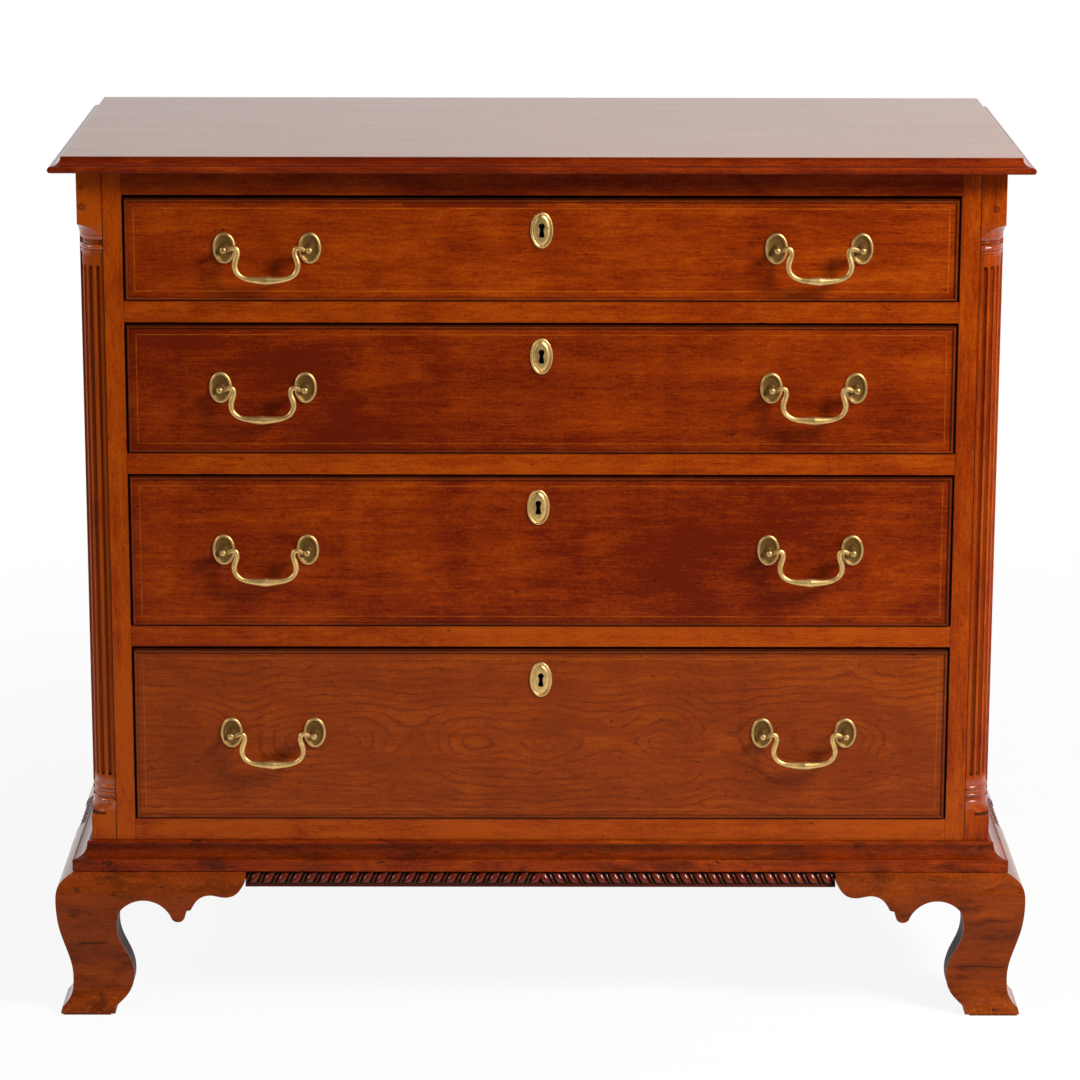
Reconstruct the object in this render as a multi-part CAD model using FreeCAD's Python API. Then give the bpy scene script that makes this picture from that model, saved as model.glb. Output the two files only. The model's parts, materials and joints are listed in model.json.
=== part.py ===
import FreeCAD, Part
import math
import os
from FreeCAD import Vector

# Chest of four graduated drawers with fluted quarter columns and ogee bracket feet.
# Millimetres. X runs across the front, Z up. Depths (Y) are measured back from the case front,
# and the finished part is moved so that its origin is the middle of its base.

# Case
case_width = 950.0
side_thickness = 19.0
column_square = 26.0
stile_width = 20.5
stile_depth = 46.0
rail_thickness = 22.0
blade_depth = 62.0
top_rail_height = 25.4
blade_height = 22.0
bottom_rail_show = 23.4
tenon_length = 12.0
tenon_shoulder = 5.0
back_thickness = 10.0
back_rabbet = 9.0
back_board_count = 4
back_board_gap = 0.5
case_bottom_thickness = 19.0
case_bottom_lift = 14.0
housing_depth = 6.0

# Top board
top_depth = 457.0
top_thickness = 16.0
top_overhang = 26.0
top_back_overhang = 5.0
top_nose = 7.0
top_cove_width = 9.0
top_fillet = 1.2
edge_facets = 4

# Base moulding
fascia_height = 13.0
cove_height = 12.2
ledge_height = 4.0
base_overhang = 19.5
ledge_width = 5.0
cove_fillet = 1.4

# Ogee bracket feet: the section from the top down to the crease, the flare and the toe, as shares of the
# bulge's overhang beyond the case and of the height
foot_height = 156.0
foot_bulge = 36.6
foot_ogee = ((0.48, 1.0), (0.9, 0.935), (1.0, 0.81), (0.91, 0.61), (0.69, 0.415), (0.587, 0.27),
             (0.595, 0.185))
foot_flare = (0.68, 0.112)
foot_toe = (0.93, 0.052)
foot_pad_inset = 2.0
foot_pad_height = 1.8
foot_inner = 2.0
curve_facets = 5

# Scroll of a bracket, as shares of its length and height, from the toe up the leg and along to its end
bracket_length = 163.0
scroll_pad = 0.114
scroll_leg = ((0.146, 0.058), (0.232, 0.141), (0.267, 0.27), (0.243, 0.395), (0.182, 0.54), (0.168, 0.655),
              (0.183, 0.74))
scroll_arch = ((0.183, 0.74), (0.346, 0.828), (0.527, 0.692))
scroll_pendant = ((0.527, 0.692), (0.566, 0.671), (0.61, 0.708))
scroll_step = ((0.61, 0.708), (0.623, 0.753))
scroll_wave = ((0.65, 0.76), (0.712, 0.846), (0.779, 0.864), (0.865, 0.85), (0.933, 0.865), (1.0, 0.949))

# Rear braces and glue blocks
brace_thickness = 18.0
brace_length = 100.0
brace_curve = ((0.45, 0), (0.56, 0.5), (1.0, 0.85))
glue_block = 22.0
glue_block_length = 110.0

# Gadroon strip
gadroon_height = 17.0
gadroon_front = 15.0
gadroon_back = 3.0
gadroon_pitch = 13.9
gadroon_fillet = 2.2
gadroon_relief = 4.2
gadroon_lean = 8.5
gadroon_facets = 3

# Corner columns: depth of each turned line inside the post's face, with its drop from the case top
# or its rise from the top of the base moulding
shaft_inset = 2.0
shoulder_width = 12.0
cap_shoulder = (68.0, 56.0)
cap_turning = ((3.0, 73.5), (1.7, 75.0), (2.6, 77.0), (0.2, 80.0), (0.6, 82.6), (1.2, 83.2), (1.2, 86.0),
               (2.0, 86.6))
flute_drop = 99.0
foot_shoulder = (42.0, 26.0)
foot_turning = ((2.5, 44.0), (2.5, 46.8), (0.5, 49.3), (2.2, 51.8), (2.2, 54.8), (0.1, 57.5), (2.0, 60.2))
flute_rise = 69.0
flute_radius = 2.6
flute_angles = (15.0, 35.0, 55.0, 75.0)
flute_facets = 4
column_facets = 6

# Drawers, top one first
opening_heights = (110.0, 138.0, 163.0, 189.0)
drawer_top_gaps = (3.8, 3.1, 2.8, 3.8)
drawer_side_gap = 1.7
drawer_bottom_gap = 0.8
run_clearance = 0.3
runner_cover = 16.0
guide_height = 22.0
drawer_back_space = 14.0
front_thickness = 22.0
front_lap = 7.0
drawer_side_thickness = 12.0
drawer_back_thickness = 12.0
drawer_side_drop = 4.0
drawer_back_drop = 6.0
drawer_bottom_thickness = 8.0
drawer_bottom_lift = 10.0
drawer_groove = 5.0
dovetail_pitch = 46.0
dovetail_narrow = 0.27
dovetail_wide = 0.37
bead_width = 3.2
bead_proud = 1.5
bead_bevel = 0.6

# Pulls: places of each drawer's left and right pull, and the hardware
pull_places = ((-281.0, 284.0), (-287.0, 281.0), (-286.5, 280.5), (-281.5, 277.0))
pull_lift = 2.0
pull_boring = 87.5
rosette_width = 23.8
rosette_height = 33.0
rosette_rim = 2.6
rosette_floor = 1.0
rosette_rim_inset = 1.2
shank_radius = 2.3
shank_clearance = 0.2
neck_radius = 2.6
collar_radius = 4.2
head_radius = 3.6
head_length = 7.2
hinge_standoff = 15.5
nut_side = 10.0
nut_thickness = 3.0
thread_clearance = 0.05
pin_radius = 1.6
pin_clearance = 0.05
pin_length = 4.6
pin_end_gap = 0.4
round_sides = 8
oval_sides = 12

# Bails: course of the left half of the wire, as shares of half the boring and of the drop
bail_gap = 0.5
bail_drop = 31.4
bail_neck = ((0.21, 0.07), (0.302, 0.051), (0.334, -0.07), (0.293, -0.303), (0.265, -0.541), (0.325, -0.764))
bail_sweep = ((0.491, -0.924), (0.731, -0.984), (1.0, -1.0))
bail_wire = 4.7
bail_grip = 8.6
bail_grip_length = 17.0
bail_sides = 8
bail_steps = 7

# Escutcheons, locks and bolts
lock_places = (0.0, 0.0, -3.0, 0.0)
lock_drop = 32.0
escutcheon_width = 23.7
escutcheon_height = 38.0
escutcheon_thickness = 1.6
escutcheon_bevel = 1.3
escutcheon_boss = 0.7
escutcheon_border = 3.2
key_radius = 2.5
key_waist = 3.4
key_flare = 5.0
key_height = 13.5
key_pin_radius = 1.2
lock_width = 60.0
lock_height = 45.0
lock_depth = 12.0
lock_back_plate = 2.0
selvedge_width = 74.0
selvedge_depth = 16.0
selvedge_thickness = 2.0
bolt_width = 22.0
bolt_thickness = 6.0
bolt_length = 24.0
bolt_throw = 8.0
bolt_clearance = 0.3
mortise_clearance = 1.0

# Levels and planes that follow from the sizes above
half_width = case_width / 2
opening_half = half_width - column_square - stile_width
inner_half = half_width - side_thickness
case_depth = top_depth - top_overhang - top_back_overhang
inner_depth = case_depth - back_thickness
drawer_depth = inner_depth - drawer_back_space
fascia_top = foot_height + fascia_height
cove_top = fascia_top + cove_height
base_top = cove_top + ledge_height
openings = []
level = base_top + bottom_rail_show
for opening_height in reversed(opening_heights):
    openings.insert(0, (level, level + opening_height))
    level += opening_height + blade_height
case_top = openings[0][1] + top_rail_height
case_bottom_top = foot_height + case_bottom_lift + case_bottom_thickness
front_reach = foot_bulge
post_hole = shank_radius + shank_clearance
dish_reach = (rosette_width / 2 - rosette_rim_inset) * math.cos(math.pi / oval_sides)
dish_slope = (rosette_rim - rosette_floor) / (dish_reach - post_hole)
post_seat = rosette_floor + dish_slope * (collar_radius - post_hole)
origin_shift = Vector(0, (front_reach - case_depth - top_back_overhang) / 2, 0)
UP = Vector(0, 0, 1)
INWARD = Vector(0, 1, 0)
ACROSS = Vector(1, 0, 0)


def box(x0, x1, y0, y1, z0, z1):
    """Box between two corners."""
    return Part.makeBox(x1 - x0, y1 - y0, z1 - z0, Vector(x0, y0, z0))


def mirrored(shape):
    """Copy on the other side of the chest's middle plane."""
    return shape.mirror(Vector(0, 0, 0), ACROSS)


def both_sides(shapes):
    """Left pieces and their right twins, as separate solids."""
    return Part.Compound(shapes + [mirrored(shape) for shape in shapes])


def polygon_face(points):
    """Flat face with straight sides."""
    return Part.Face(Part.makePolygon(points + points[:1]))


def quarter(count):
    """Sine and cosine at even steps of a quarter turn, both ends included."""
    turns = [math.pi / 2 * k / count for k in range(count + 1)]
    return [(math.sin(turn), math.cos(turn)) for turn in turns]


def arc_points(points, count):
    """Points on the circle through three points, without the last one."""
    return Part.Arc(*points).toShape().discretize(count + 1)[:-1]


def spline_points(points, count):
    """Points on a smooth curve through a few points, without the last one."""
    curve = Part.BSplineCurve()
    curve.interpolate(points)
    return curve.toShape().discretize(count + 1)[:-1]


def oval_ring(width, height, y, sides):
    """Points round an upright ellipse at a depth."""
    turns = [2 * math.pi * (k + 0.5) / sides for k in range(sides)]
    return [Vector(width / 2 * math.sin(turn), y, height / 2 * math.cos(turn)) for turn in turns]


def ring(radius, y, sides):
    """Points round a circle at a depth."""
    return oval_ring(2 * radius, 2 * radius, y, sides)


def skin(rings, looped=False):
    """Solid of flat facets between rings of points, closed by flat ends or looped from last to first."""
    bands = list(zip(rings, rings[1:]))
    faces = []
    if looped:
        bands.append((rings[-1], rings[0]))
    else:
        faces = [polygon_face(rings[0]), polygon_face(rings[-1])]
    for near, far in bands:
        for k in range(len(near)):
            faces.append(polygon_face([near[k - 1], near[k], far[k]]))
            faces.append(polygon_face([near[k - 1], far[k], far[k - 1]]))
    solid = Part.Solid(Part.Shell(faces))
    if solid.Volume < 0:
        solid.reverse()
    return solid


def rod(radius, start, length, direction):
    """Slim level bar with flat facets, its corners on the radius."""
    side = direction.cross(UP)
    turns = [2 * math.pi * (k + 0.5) / round_sides for k in range(round_sides)]
    corners = [start + side * (radius * math.cos(turn)) + UP * (radius * math.sin(turn)) for turn in turns]
    return polygon_face(corners).extrude(direction * length)


def bore(radius, start, length, direction):
    """Cutter for a level hole with flat facets, its flats on the radius."""
    return rod(radius / math.cos(math.pi / round_sides), start, length, direction)


def moved(shape, x, y, z):
    """Copy at another place."""
    return shape.translated(Vector(x, y, z))


def export(name, shape):
    """Write one piece, moved to the part's own origin."""
    shape.translated(origin_shift).exportStep(os.path.join("parts", name + ".step"))


# Case pieces


def top_edge():
    """Edge moulding of the top, as depth and height: rounded nose, cove above it, then the flat of the top."""
    nose = top_nose / 2
    board_top = case_top + top_thickness
    cove_top_z = board_top - top_fillet
    cove_rise = cove_top_z - case_top - top_nose
    lower = [(nose * (1 - s), case_top + nose * (1 - c)) for s, c in quarter(edge_facets)]
    upper = [(nose * (1 - c), case_top + nose * (1 + s)) for s, c in quarter(edge_facets)]
    cove = [(nose + top_cove_width * s, cove_top_z - cove_rise * c) for s, c in quarter(edge_facets)]
    return lower + upper[1:] + cove[1:] + [(nose + top_cove_width, board_top)]


def top_board():
    """Board moulded on the front and both ends: two runs of the edge section, meeting in mitres."""
    half = half_width + top_overhang
    back = case_depth + top_back_overhang
    edge = top_edge()
    front = [Vector(-half, inset - top_overhang, z) for inset, z in edge]
    front += [Vector(-half, back, edge[-1][1]), Vector(-half, back, edge[0][1])]
    front_run = polygon_face(front).extrude(ACROSS * (2 * half))
    ends = [Vector(inset - half, -top_overhang, z) for inset, z in edge]
    ends += [Vector(-point.x, point.y, point.z) for point in reversed(ends)]
    end_run = polygon_face(ends).extrude(INWARD * (back + top_overhang))
    return front_run.common(end_run)


def case_bottom(corners):
    """Board housed in the side panels, behind the bottom rail, notched round the posts of the front."""
    reach = inner_half + housing_depth
    low = case_bottom_top - case_bottom_thickness
    return box(-reach, reach, rail_thickness, inner_depth, low, case_bottom_top).cut(corners)


def back_boards():
    """Boards laid across the back, in the rabbets of the side panels."""
    reach = inner_half + back_rabbet
    step = (case_top - foot_height) / back_board_count
    boards = []
    for i in range(back_board_count):
        low = foot_height + i * step
        boards.append(box(-reach, reach, inner_depth, case_depth, low, low + step - back_board_gap))
    return Part.Compound(boards)


def left_runners():
    """Strips that carry the drawers' left sides, level with the blades, housed in the side panel."""
    x0 = -inner_half - housing_depth
    x1 = -opening_half + runner_cover
    strips = [box(x0, x1, blade_depth, inner_depth, low - blade_height, low) for low, _ in openings[:-1]]
    strips.append(box(-inner_half, x1, stile_depth, inner_depth, case_bottom_top, openings[-1][0]))
    return strips


def left_guides():
    """Strips on the runners, beside the drawers, that keep them straight."""
    x0, x1 = -inner_half, -opening_half
    return [box(x0, x1, stile_depth, inner_depth, low, low + guide_height) for low, _ in openings]


def left_kicker():
    """Strip over the top drawer's side, which stops the drawer from tipping when it is pulled out."""
    return box(-inner_half, -opening_half + runner_cover, blade_depth, inner_depth, openings[0][1], case_top)


def rail(depth, low, high):
    """Rail between the stiles, with a stub tenon at each end."""
    board = box(-opening_half, opening_half, 0, depth, low, high)
    reach = opening_half + tenon_length
    tenon_back = min(depth, stile_depth) - tenon_shoulder
    tenons = box(-reach, reach, tenon_shoulder, tenon_back, low + tenon_shoulder, high - tenon_shoulder)
    return board.fuse(tenons).removeSplitter()


def left_stile(rails):
    """Upright beside the column: a post with the column's recess left open at its outer corner."""
    x_out = -half_width + column_square
    outline = [(x_out, 0), (-opening_half, 0), (-opening_half, stile_depth), (-inner_half, stile_depth)]
    outline += [(-inner_half, column_square), (x_out, column_square)]
    face = polygon_face([Vector(x, y, foot_height) for x, y in outline])
    return face.extrude(UP * (case_top - foot_height)).cut(rails)


def left_side_panel(housed):
    """Panel behind the column, rabbeted for the back and housed for what its inside carries."""
    panel = box(-half_width, -inner_half, column_square, case_depth, foot_height, case_top)
    rabbet = box(-inner_half - back_rabbet, -inner_half, inner_depth, case_depth, foot_height, case_top)
    return panel.cut(housed).cut(rabbet)


def quarter_ring(radius, z):
    """Points round a quarter disc about the left column's axis."""
    axis = Vector(-half_width + column_square, column_square, z)
    return [axis] + [axis - Vector(radius * s, radius * c, 0) for s, c in quarter(column_facets)]


def fluted_section(z):
    """Section of the fluted shaft: a quarter disc with round hollows cut in its rim."""
    radius = column_square - shaft_inset
    half_angle = math.acos(flute_radius / (2 * radius))
    axis, front, *_, left = quarter_ring(radius, z)
    points = [axis, front]
    for angle in flute_angles:
        turn = math.radians(angle)
        outward = Vector(-math.sin(turn), -math.cos(turn), 0)
        onward = Vector(-math.cos(turn), math.sin(turn), 0)
        for k in range(flute_facets + 1):
            swing = half_angle * (2 * k / flute_facets - 1)
            inside = radius - flute_radius * math.cos(swing)
            points.append(axis + outward * inside + onward * (flute_radius * math.sin(swing)))
    return polygon_face(points + [left])


def left_column():
    """Quarter column in the corner recess: a square post, turned and fluted between its end blocks."""
    past_corner = 2 * column_square
    shaft = column_square - shaft_inset
    flute_top = case_top - flute_drop
    flute_low = base_top + flute_rise

    def shoulder(narrow_z, wide_z):
        """Cove from the post's face out past its corner."""
        rise = wide_z - narrow_z
        out = column_square + shoulder_width
        return [(out - shoulder_width * c, narrow_z + rise * s) for s, c in quarter(column_facets)]

    cap_narrow, cap_wide = [case_top - drop for drop in cap_shoulder]
    head = [(shaft, flute_top)]
    head += [(column_square - inset, case_top - drop) for inset, drop in reversed(cap_turning)]
    head += shoulder(cap_narrow, cap_wide) + [(past_corner, case_top)]
    base_narrow, base_wide = [base_top + rise for rise in foot_shoulder]
    base = [(shaft, flute_low)]
    base += [(column_square - inset, base_top + rise) for inset, rise in reversed(foot_turning)]
    base += shoulder(base_narrow, base_wide) + [(past_corner, foot_height)]
    square = box(-half_width, column_square - half_width, 0, column_square, foot_height, case_top)
    ends = [square.common(skin([quarter_ring(radius, z) for radius, z in turning])) for turning in (head, base)]
    return fluted_section(flute_low).extrude(UP * (flute_top - flute_low)).fuse(ends).removeSplitter()


# Base and feet


def base_profile(place):
    """Section of the base moulding: fascia, cove and a small ledge against the case."""
    cove_foot = base_overhang - cove_fillet
    reach = cove_foot - ledge_width
    outline = [(cove_foot - reach * c, cove_top - cove_height * s) for s, c in quarter(edge_facets)]
    outline += [(base_overhang, fascia_top), (base_overhang, foot_height), (0, foot_height), (0, base_top)]
    outline.append((ledge_width, base_top))
    return polygon_face([place(out, z) for out, z in outline])


def base_moulding():
    """Front run and two returns, mitred at the corners."""
    span = half_width + base_overhang
    front = base_profile(lambda out, z: Vector(-span, -out, z)).extrude(ACROSS * (2 * span))
    left = base_profile(lambda out, z: Vector(-half_width - out, -base_overhang, z))
    left = left.extrude(INWARD * (case_depth + base_overhang))
    mitre = [(-half_width, 0), (half_width, 0), (span, -base_overhang), (-span, -base_overhang)]
    wedge = polygon_face([Vector(x, y, foot_height) for x, y in mitre]).extrude(UP * (base_top - foot_height))
    left = left.cut(wedge)
    return Part.Compound([front.common(wedge), left, mirrored(left)])


def ogee_profile():
    """Section of a foot, set across the front: bulge, waist, a toe that flares out, and a pad set back under it."""

    def at(out, up):
        return Vector(-half_width - front_reach, -out, up)

    def place(shares):
        out, up = shares
        return at(out * foot_bulge, up * foot_height)

    toe = place(foot_toe)
    outline = spline_points([place(shares) for shares in foot_ogee], 2 * curve_facets)
    outline += arc_points([place(foot_ogee[-1]), place(foot_flare), toe], curve_facets)
    outline += [toe, at(-toe.y, foot_pad_height), at(-toe.y - foot_pad_inset, foot_pad_height)]
    outline += [at(-toe.y - foot_pad_inset, 0), at(-foot_inner, 0), at(-foot_inner, foot_height)]
    return polygon_face(outline)


def scroll_face():
    """Face of a front bracket: leg, arch, pendant and a wave that dies out under the base moulding."""

    def at(along, up):
        return Vector(along * bracket_length - half_width, -front_reach, up * foot_height)

    def places(shares):
        return [at(*place) for place in shares]

    outer = Vector(-half_width - front_reach, -front_reach, 0)
    pad_top = foot_pad_height / foot_height
    outline = places([(scroll_pad, 0), (scroll_pad, pad_top), (scroll_leg[0][0], pad_top)])
    outline += spline_points(places(scroll_leg), 2 * curve_facets)
    outline += arc_points(places(scroll_arch), curve_facets)
    outline += arc_points(places(scroll_pendant), curve_facets // 2)
    outline += places(scroll_step) + spline_points(places(scroll_wave), 2 * curve_facets)
    outline += [at(*scroll_wave[-1]), at(1, 1), outer + UP * foot_height, outer]
    return polygon_face(outline)


def front_left_foot():
    """Two brackets with one ogee section and one scroll, the second a mirror image across the corner mitre."""
    run = ogee_profile().extrude(ACROSS * (bracket_length + front_reach))
    scroll = scroll_face().extrude(INWARD * (front_reach + foot_inner))
    mitre = [(-front_reach, -front_reach), (bracket_length, -front_reach), (bracket_length, foot_inner)]
    mitre.append((foot_inner, foot_inner))
    side = polygon_face([Vector(x - half_width, y, 0) for x, y in mitre]).extrude(UP * foot_height)
    face_bracket = run.common(scroll).common(side)
    return [face_bracket, face_bracket.mirror(Vector(-half_width, 0, 0), Vector(1, -1, 0))]


def rear_left_foot(return_bracket):
    """Return bracket turned end for end and cut square at the back, with a plain brace across the back."""
    turned = return_bracket.mirror(Vector(0, case_depth / 2, 0), INWARD)
    reach = half_width + front_reach
    bracket = turned.common(box(-reach, foot_inner - half_width, 0, case_depth, 0, foot_height))

    def at(along, up):
        x = foot_inner - half_width + along * brace_length
        return Vector(x, case_depth - brace_thickness, up * foot_height)

    outline = arc_points([at(*place) for place in brace_curve], curve_facets)
    outline += [at(*brace_curve[-1]), at(1, 1), at(0, 1), at(0, 0)]
    return [bracket, polygon_face(outline).extrude(INWARD * brace_thickness)]


def left_glue_blocks():
    """Blocks rubbed in along the top of the left feet, behind their brackets."""
    x0 = foot_inner - half_width
    y0 = foot_inner
    y1 = case_depth - brace_thickness
    low = foot_height - glue_block
    reach = glue_block + glue_block_length
    blocks = [box(x0, x0 + reach, y0, y0 + glue_block, low, foot_height)]
    blocks.append(box(x0, x0 + glue_block, y0 + glue_block, y0 + reach, low, foot_height))
    blocks.append(box(x0, x0 + glue_block, y1 - reach, y1, low, foot_height))
    return blocks


def gadroon_strip():
    """Strip carved with leaning lobes, mirrored about the middle of the front."""
    length = half_width - bracket_length
    low = foot_height - gadroon_height
    count = math.ceil(length / gadroon_pitch) + 2
    start = -length - 2 * gadroon_lean
    lobe_foot = gadroon_relief - gadroon_front

    def at(x, y):
        return Vector(x, y, low)

    outline = []
    for i in range(count):
        x = start + i * gadroon_pitch
        lobe_end = x + gadroon_pitch - gadroon_fillet
        lobe = [at(x, lobe_foot), at((x + lobe_end) / 2, -gadroon_front), at(lobe_end, lobe_foot)]
        outline += arc_points(lobe, gadroon_facets) + lobe[-1:]
    end = start + count * gadroon_pitch
    outline += [at(end, lobe_foot), at(end, -gadroon_back), at(start, -gadroon_back)]
    lobes = polygon_face(outline).extrude(Vector(gadroon_lean, 0, gadroon_height))
    left = lobes.common(box(-length, 0, -gadroon_front, -gadroon_back, low, foot_height))
    return left.fuse(mirrored(left)).removeSplitter()


# Drawers


class Drawer:
    """Places that one drawer's pieces share."""

    def __init__(self, index):
        low, high = openings[index]
        self.name = f"drawer_{index + 1}"
        self.half = opening_half - drawer_side_gap
        self.low = low + drawer_bottom_gap
        self.high = high - drawer_top_gaps[index]
        self.run = low + run_clearance
        self.side_top = self.high - drawer_side_drop
        self.opening_top = high
        self.panel_low = self.run + drawer_bottom_lift
        self.panel_high = self.panel_low + drawer_bottom_thickness
        self.back_top = self.side_top - drawer_back_drop
        self.pulls = pull_places[index]
        self.pull_z = (self.low + self.high) / 2 + pull_lift
        self.lock_x = lock_places[index]
        self.key_z = self.high - lock_drop
        self.post_x = [x + side * pull_boring / 2 for x in self.pulls for side in (-1, 1)]


def tails(drawer, y_root, y_tip, low, high):
    """Row of dovetails on the left drawer side, widening from root to tip."""
    count = max(2, round((high - low) / dovetail_pitch))
    pitch = (high - low) / count
    corners = [(y_root, -dovetail_narrow), (y_tip, -dovetail_wide)]
    corners += [(y, -share) for y, share in reversed(corners)]
    row = []
    for i in range(count):
        z = low + (i + 0.5) * pitch
        face = polygon_face([Vector(-drawer.half, y, z + share * pitch) for y, share in corners])
        row.append(face.extrude(ACROSS * drawer_side_thickness))
    return row


def drawer_bottom(drawer):
    """Panel in the grooves of the front and sides, under the back."""
    reach = drawer.half - drawer_side_thickness + drawer_groove
    front = front_thickness - drawer_groove
    return box(-reach, reach, front, drawer_depth, drawer.panel_low, drawer.panel_high)


def drawer_back(drawer):
    """Board across the back, with pins between the sides' dovetails."""
    y0 = drawer_depth - drawer_back_thickness
    board = box(-drawer.half, drawer.half, y0, drawer_depth, drawer.panel_high, drawer.back_top)
    return board.cut(both_sides(tails(drawer, y0, drawer_depth, drawer.panel_high, drawer.back_top)))


def drawer_left_side(drawer, back, panel):
    """Side board: dovetails into the front, pins of the back let in, groove for the bottom."""
    x0 = -drawer.half
    board = box(x0, x0 + drawer_side_thickness, front_thickness, drawer_depth, drawer.run, drawer.side_top)
    front_row = tails(drawer, front_thickness, front_lap, drawer.low, drawer.side_top)
    return board.fuse(front_row).cut(back).cut(panel).removeSplitter()


def keyhole(drawer, y0, y1):
    """Cutter for the keyhole: round at the top, with a slot that narrows and then flares."""
    top = drawer.key_z + key_height / 2 - key_radius
    base = drawer.key_z - key_height / 2
    outline = [(key_waist / 2, top), (key_waist / 2, (top + base) / 2), (key_flare / 2, base)]
    outline += [(-x, z) for x, z in reversed(outline)]
    slot = polygon_face([Vector(drawer.lock_x + x, y0, z) for x, z in outline]).extrude(INWARD * (y1 - y0))
    return slot.fuse(bore(key_radius, Vector(drawer.lock_x, y0, top), y1 - y0, INWARD)).removeSplitter()


def lock_envelope(drawer):
    """Lock case and its top plate, without the works."""
    sizes = ((lock_width, lock_depth, lock_height), (selvedge_width, selvedge_depth, selvedge_thickness))
    blocks = []
    for width, depth, height in sizes:
        x0, x1 = drawer.lock_x - width / 2, drawer.lock_x + width / 2
        blocks.append(box(x0, x1, front_thickness - depth, front_thickness, drawer.high - height, drawer.high))
    return blocks[0].fuse(blocks[1]).removeSplitter()


def bolt_box(drawer, grow):
    """Space of the bolt, let out by grow all round and below."""
    x = drawer.lock_x
    y = front_thickness - lock_depth / 2
    top = drawer.high - bolt_clearance
    half_x = bolt_width / 2 + grow
    half_y = bolt_thickness / 2 + grow
    return box(x - half_x, x + half_x, y - half_y, y + half_y, top - bolt_length - grow, top)


def drawer_lock(drawer):
    """Lock case with its bolt slot, keyhole and key pin."""
    slot = bolt_box(drawer, bolt_clearance)
    slot = slot.fuse(moved(slot, 0, 0, bolt_clearance))
    key_back = front_thickness - lock_back_plate
    key_front = front_thickness - lock_depth
    case = lock_envelope(drawer).cut(slot).cut(keyhole(drawer, key_front, key_back))
    pin_z = drawer.key_z + key_height / 2 - key_radius
    return case.fuse(rod(key_pin_radius, Vector(drawer.lock_x, key_front, pin_z), key_back - key_front, INWARD))


def bolt_mortise(drawer):
    """Cutter for the mortise that the bolt rises into, in the rail above."""
    space = bolt_box(drawer, mortise_clearance).BoundBox
    high = drawer.opening_top + bolt_throw + mortise_clearance
    return box(space.XMin, space.XMax, space.YMin, space.YMax, drawer.opening_top, high)


def bead_frame(drawer):
    """Raised bead along the four edges of a drawer front."""
    x, z0, z1 = drawer.half, drawer.low, drawer.high
    outer = Part.makeWedge(-x + bead_bevel, -bead_proud, z0 + bead_bevel, z0, -x,
                           x - bead_bevel, 0, z1 - bead_bevel, z1, x)
    open_x, open_z0, open_z1 = x - bead_width, z0 + bead_width, z1 - bead_width
    inner = Part.makeWedge(-open_x - bead_bevel, -bead_proud, open_z0 - bead_bevel, open_z0, -open_x,
                           open_x + bead_bevel, 0, open_z1 + bead_bevel, open_z1, open_x)
    return outer.cut(inner)


def drawer_front(drawer, sides, panel):
    """Board with a bead round its face, sockets for the sides and recesses for the hardware."""
    board = box(-drawer.half, drawer.half, 0, front_thickness, drawer.low, drawer.high)
    front = board.fuse(bead_frame(drawer)).removeSplitter()
    front = front.cut(sides).cut(panel).cut(lock_envelope(drawer)).cut(keyhole(drawer, 0, front_thickness))
    for x in drawer.post_x:
        front = front.cut(bore(post_hole, Vector(x, 0, drawer.pull_z), front_thickness, INWARD))
    return front


# Brass


def rosette():
    """Dished oval backplate with a raised rim and a hole for the post."""
    inset = 2 * rosette_rim_inset
    hole = post_hole / math.cos(math.pi / oval_sides)
    rings = [oval_ring(rosette_width, rosette_height, 0, oval_sides)]
    rings.append(oval_ring(rosette_width - inset, rosette_height - inset, -rosette_rim, oval_sides))
    rings += [ring(hole, -rosette_floor, oval_sides), ring(hole, 0, oval_sides)]
    return skin(rings, looped=True)


def post(inward):
    """Turned post: threaded shank, flared neck and a round head, bored on its inner side for the bail's pin."""
    head_back = -hinge_standoff + head_length / 2
    head_front = -hinge_standoff - head_length / 2
    profile = [(shank_radius, front_thickness + nut_thickness), (shank_radius, -post_seat)]
    profile += [(collar_radius, -post_seat), (neck_radius, head_back)]
    profile += [(head_radius, pin_radius - hinge_standoff), (head_radius, -pin_radius - hinge_standoff)]
    profile.append((neck_radius, head_front))
    turned = skin([ring(radius, y, round_sides) for radius, y in profile])
    mouth = Vector(inward * head_radius, -hinge_standoff, 0)
    return turned.cut(bore(pin_radius + pin_clearance, mouth, pin_length, ACROSS * -inward))


def nut():
    """Square nut inside the drawer front."""
    half = nut_side / 2
    block = box(-half, half, front_thickness, front_thickness + nut_thickness, -half, half)
    thread = bore(shank_radius + thread_clearance, Vector(0, front_thickness, 0), nut_thickness, INWARD)
    return block.cut(thread)


def pull_mounts(drawer):
    """Rosettes, posts and nuts of a drawer's two pulls, as separate solids."""
    plate = rosette()
    fixing = nut()
    posts = [post(1), post(-1)]
    solids = []
    for i, x in enumerate(drawer.post_x):
        solids += [moved(piece, x, 0, drawer.pull_z) for piece in (plate, posts[i % 2], fixing)]
    return Part.Compound(solids)


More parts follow.
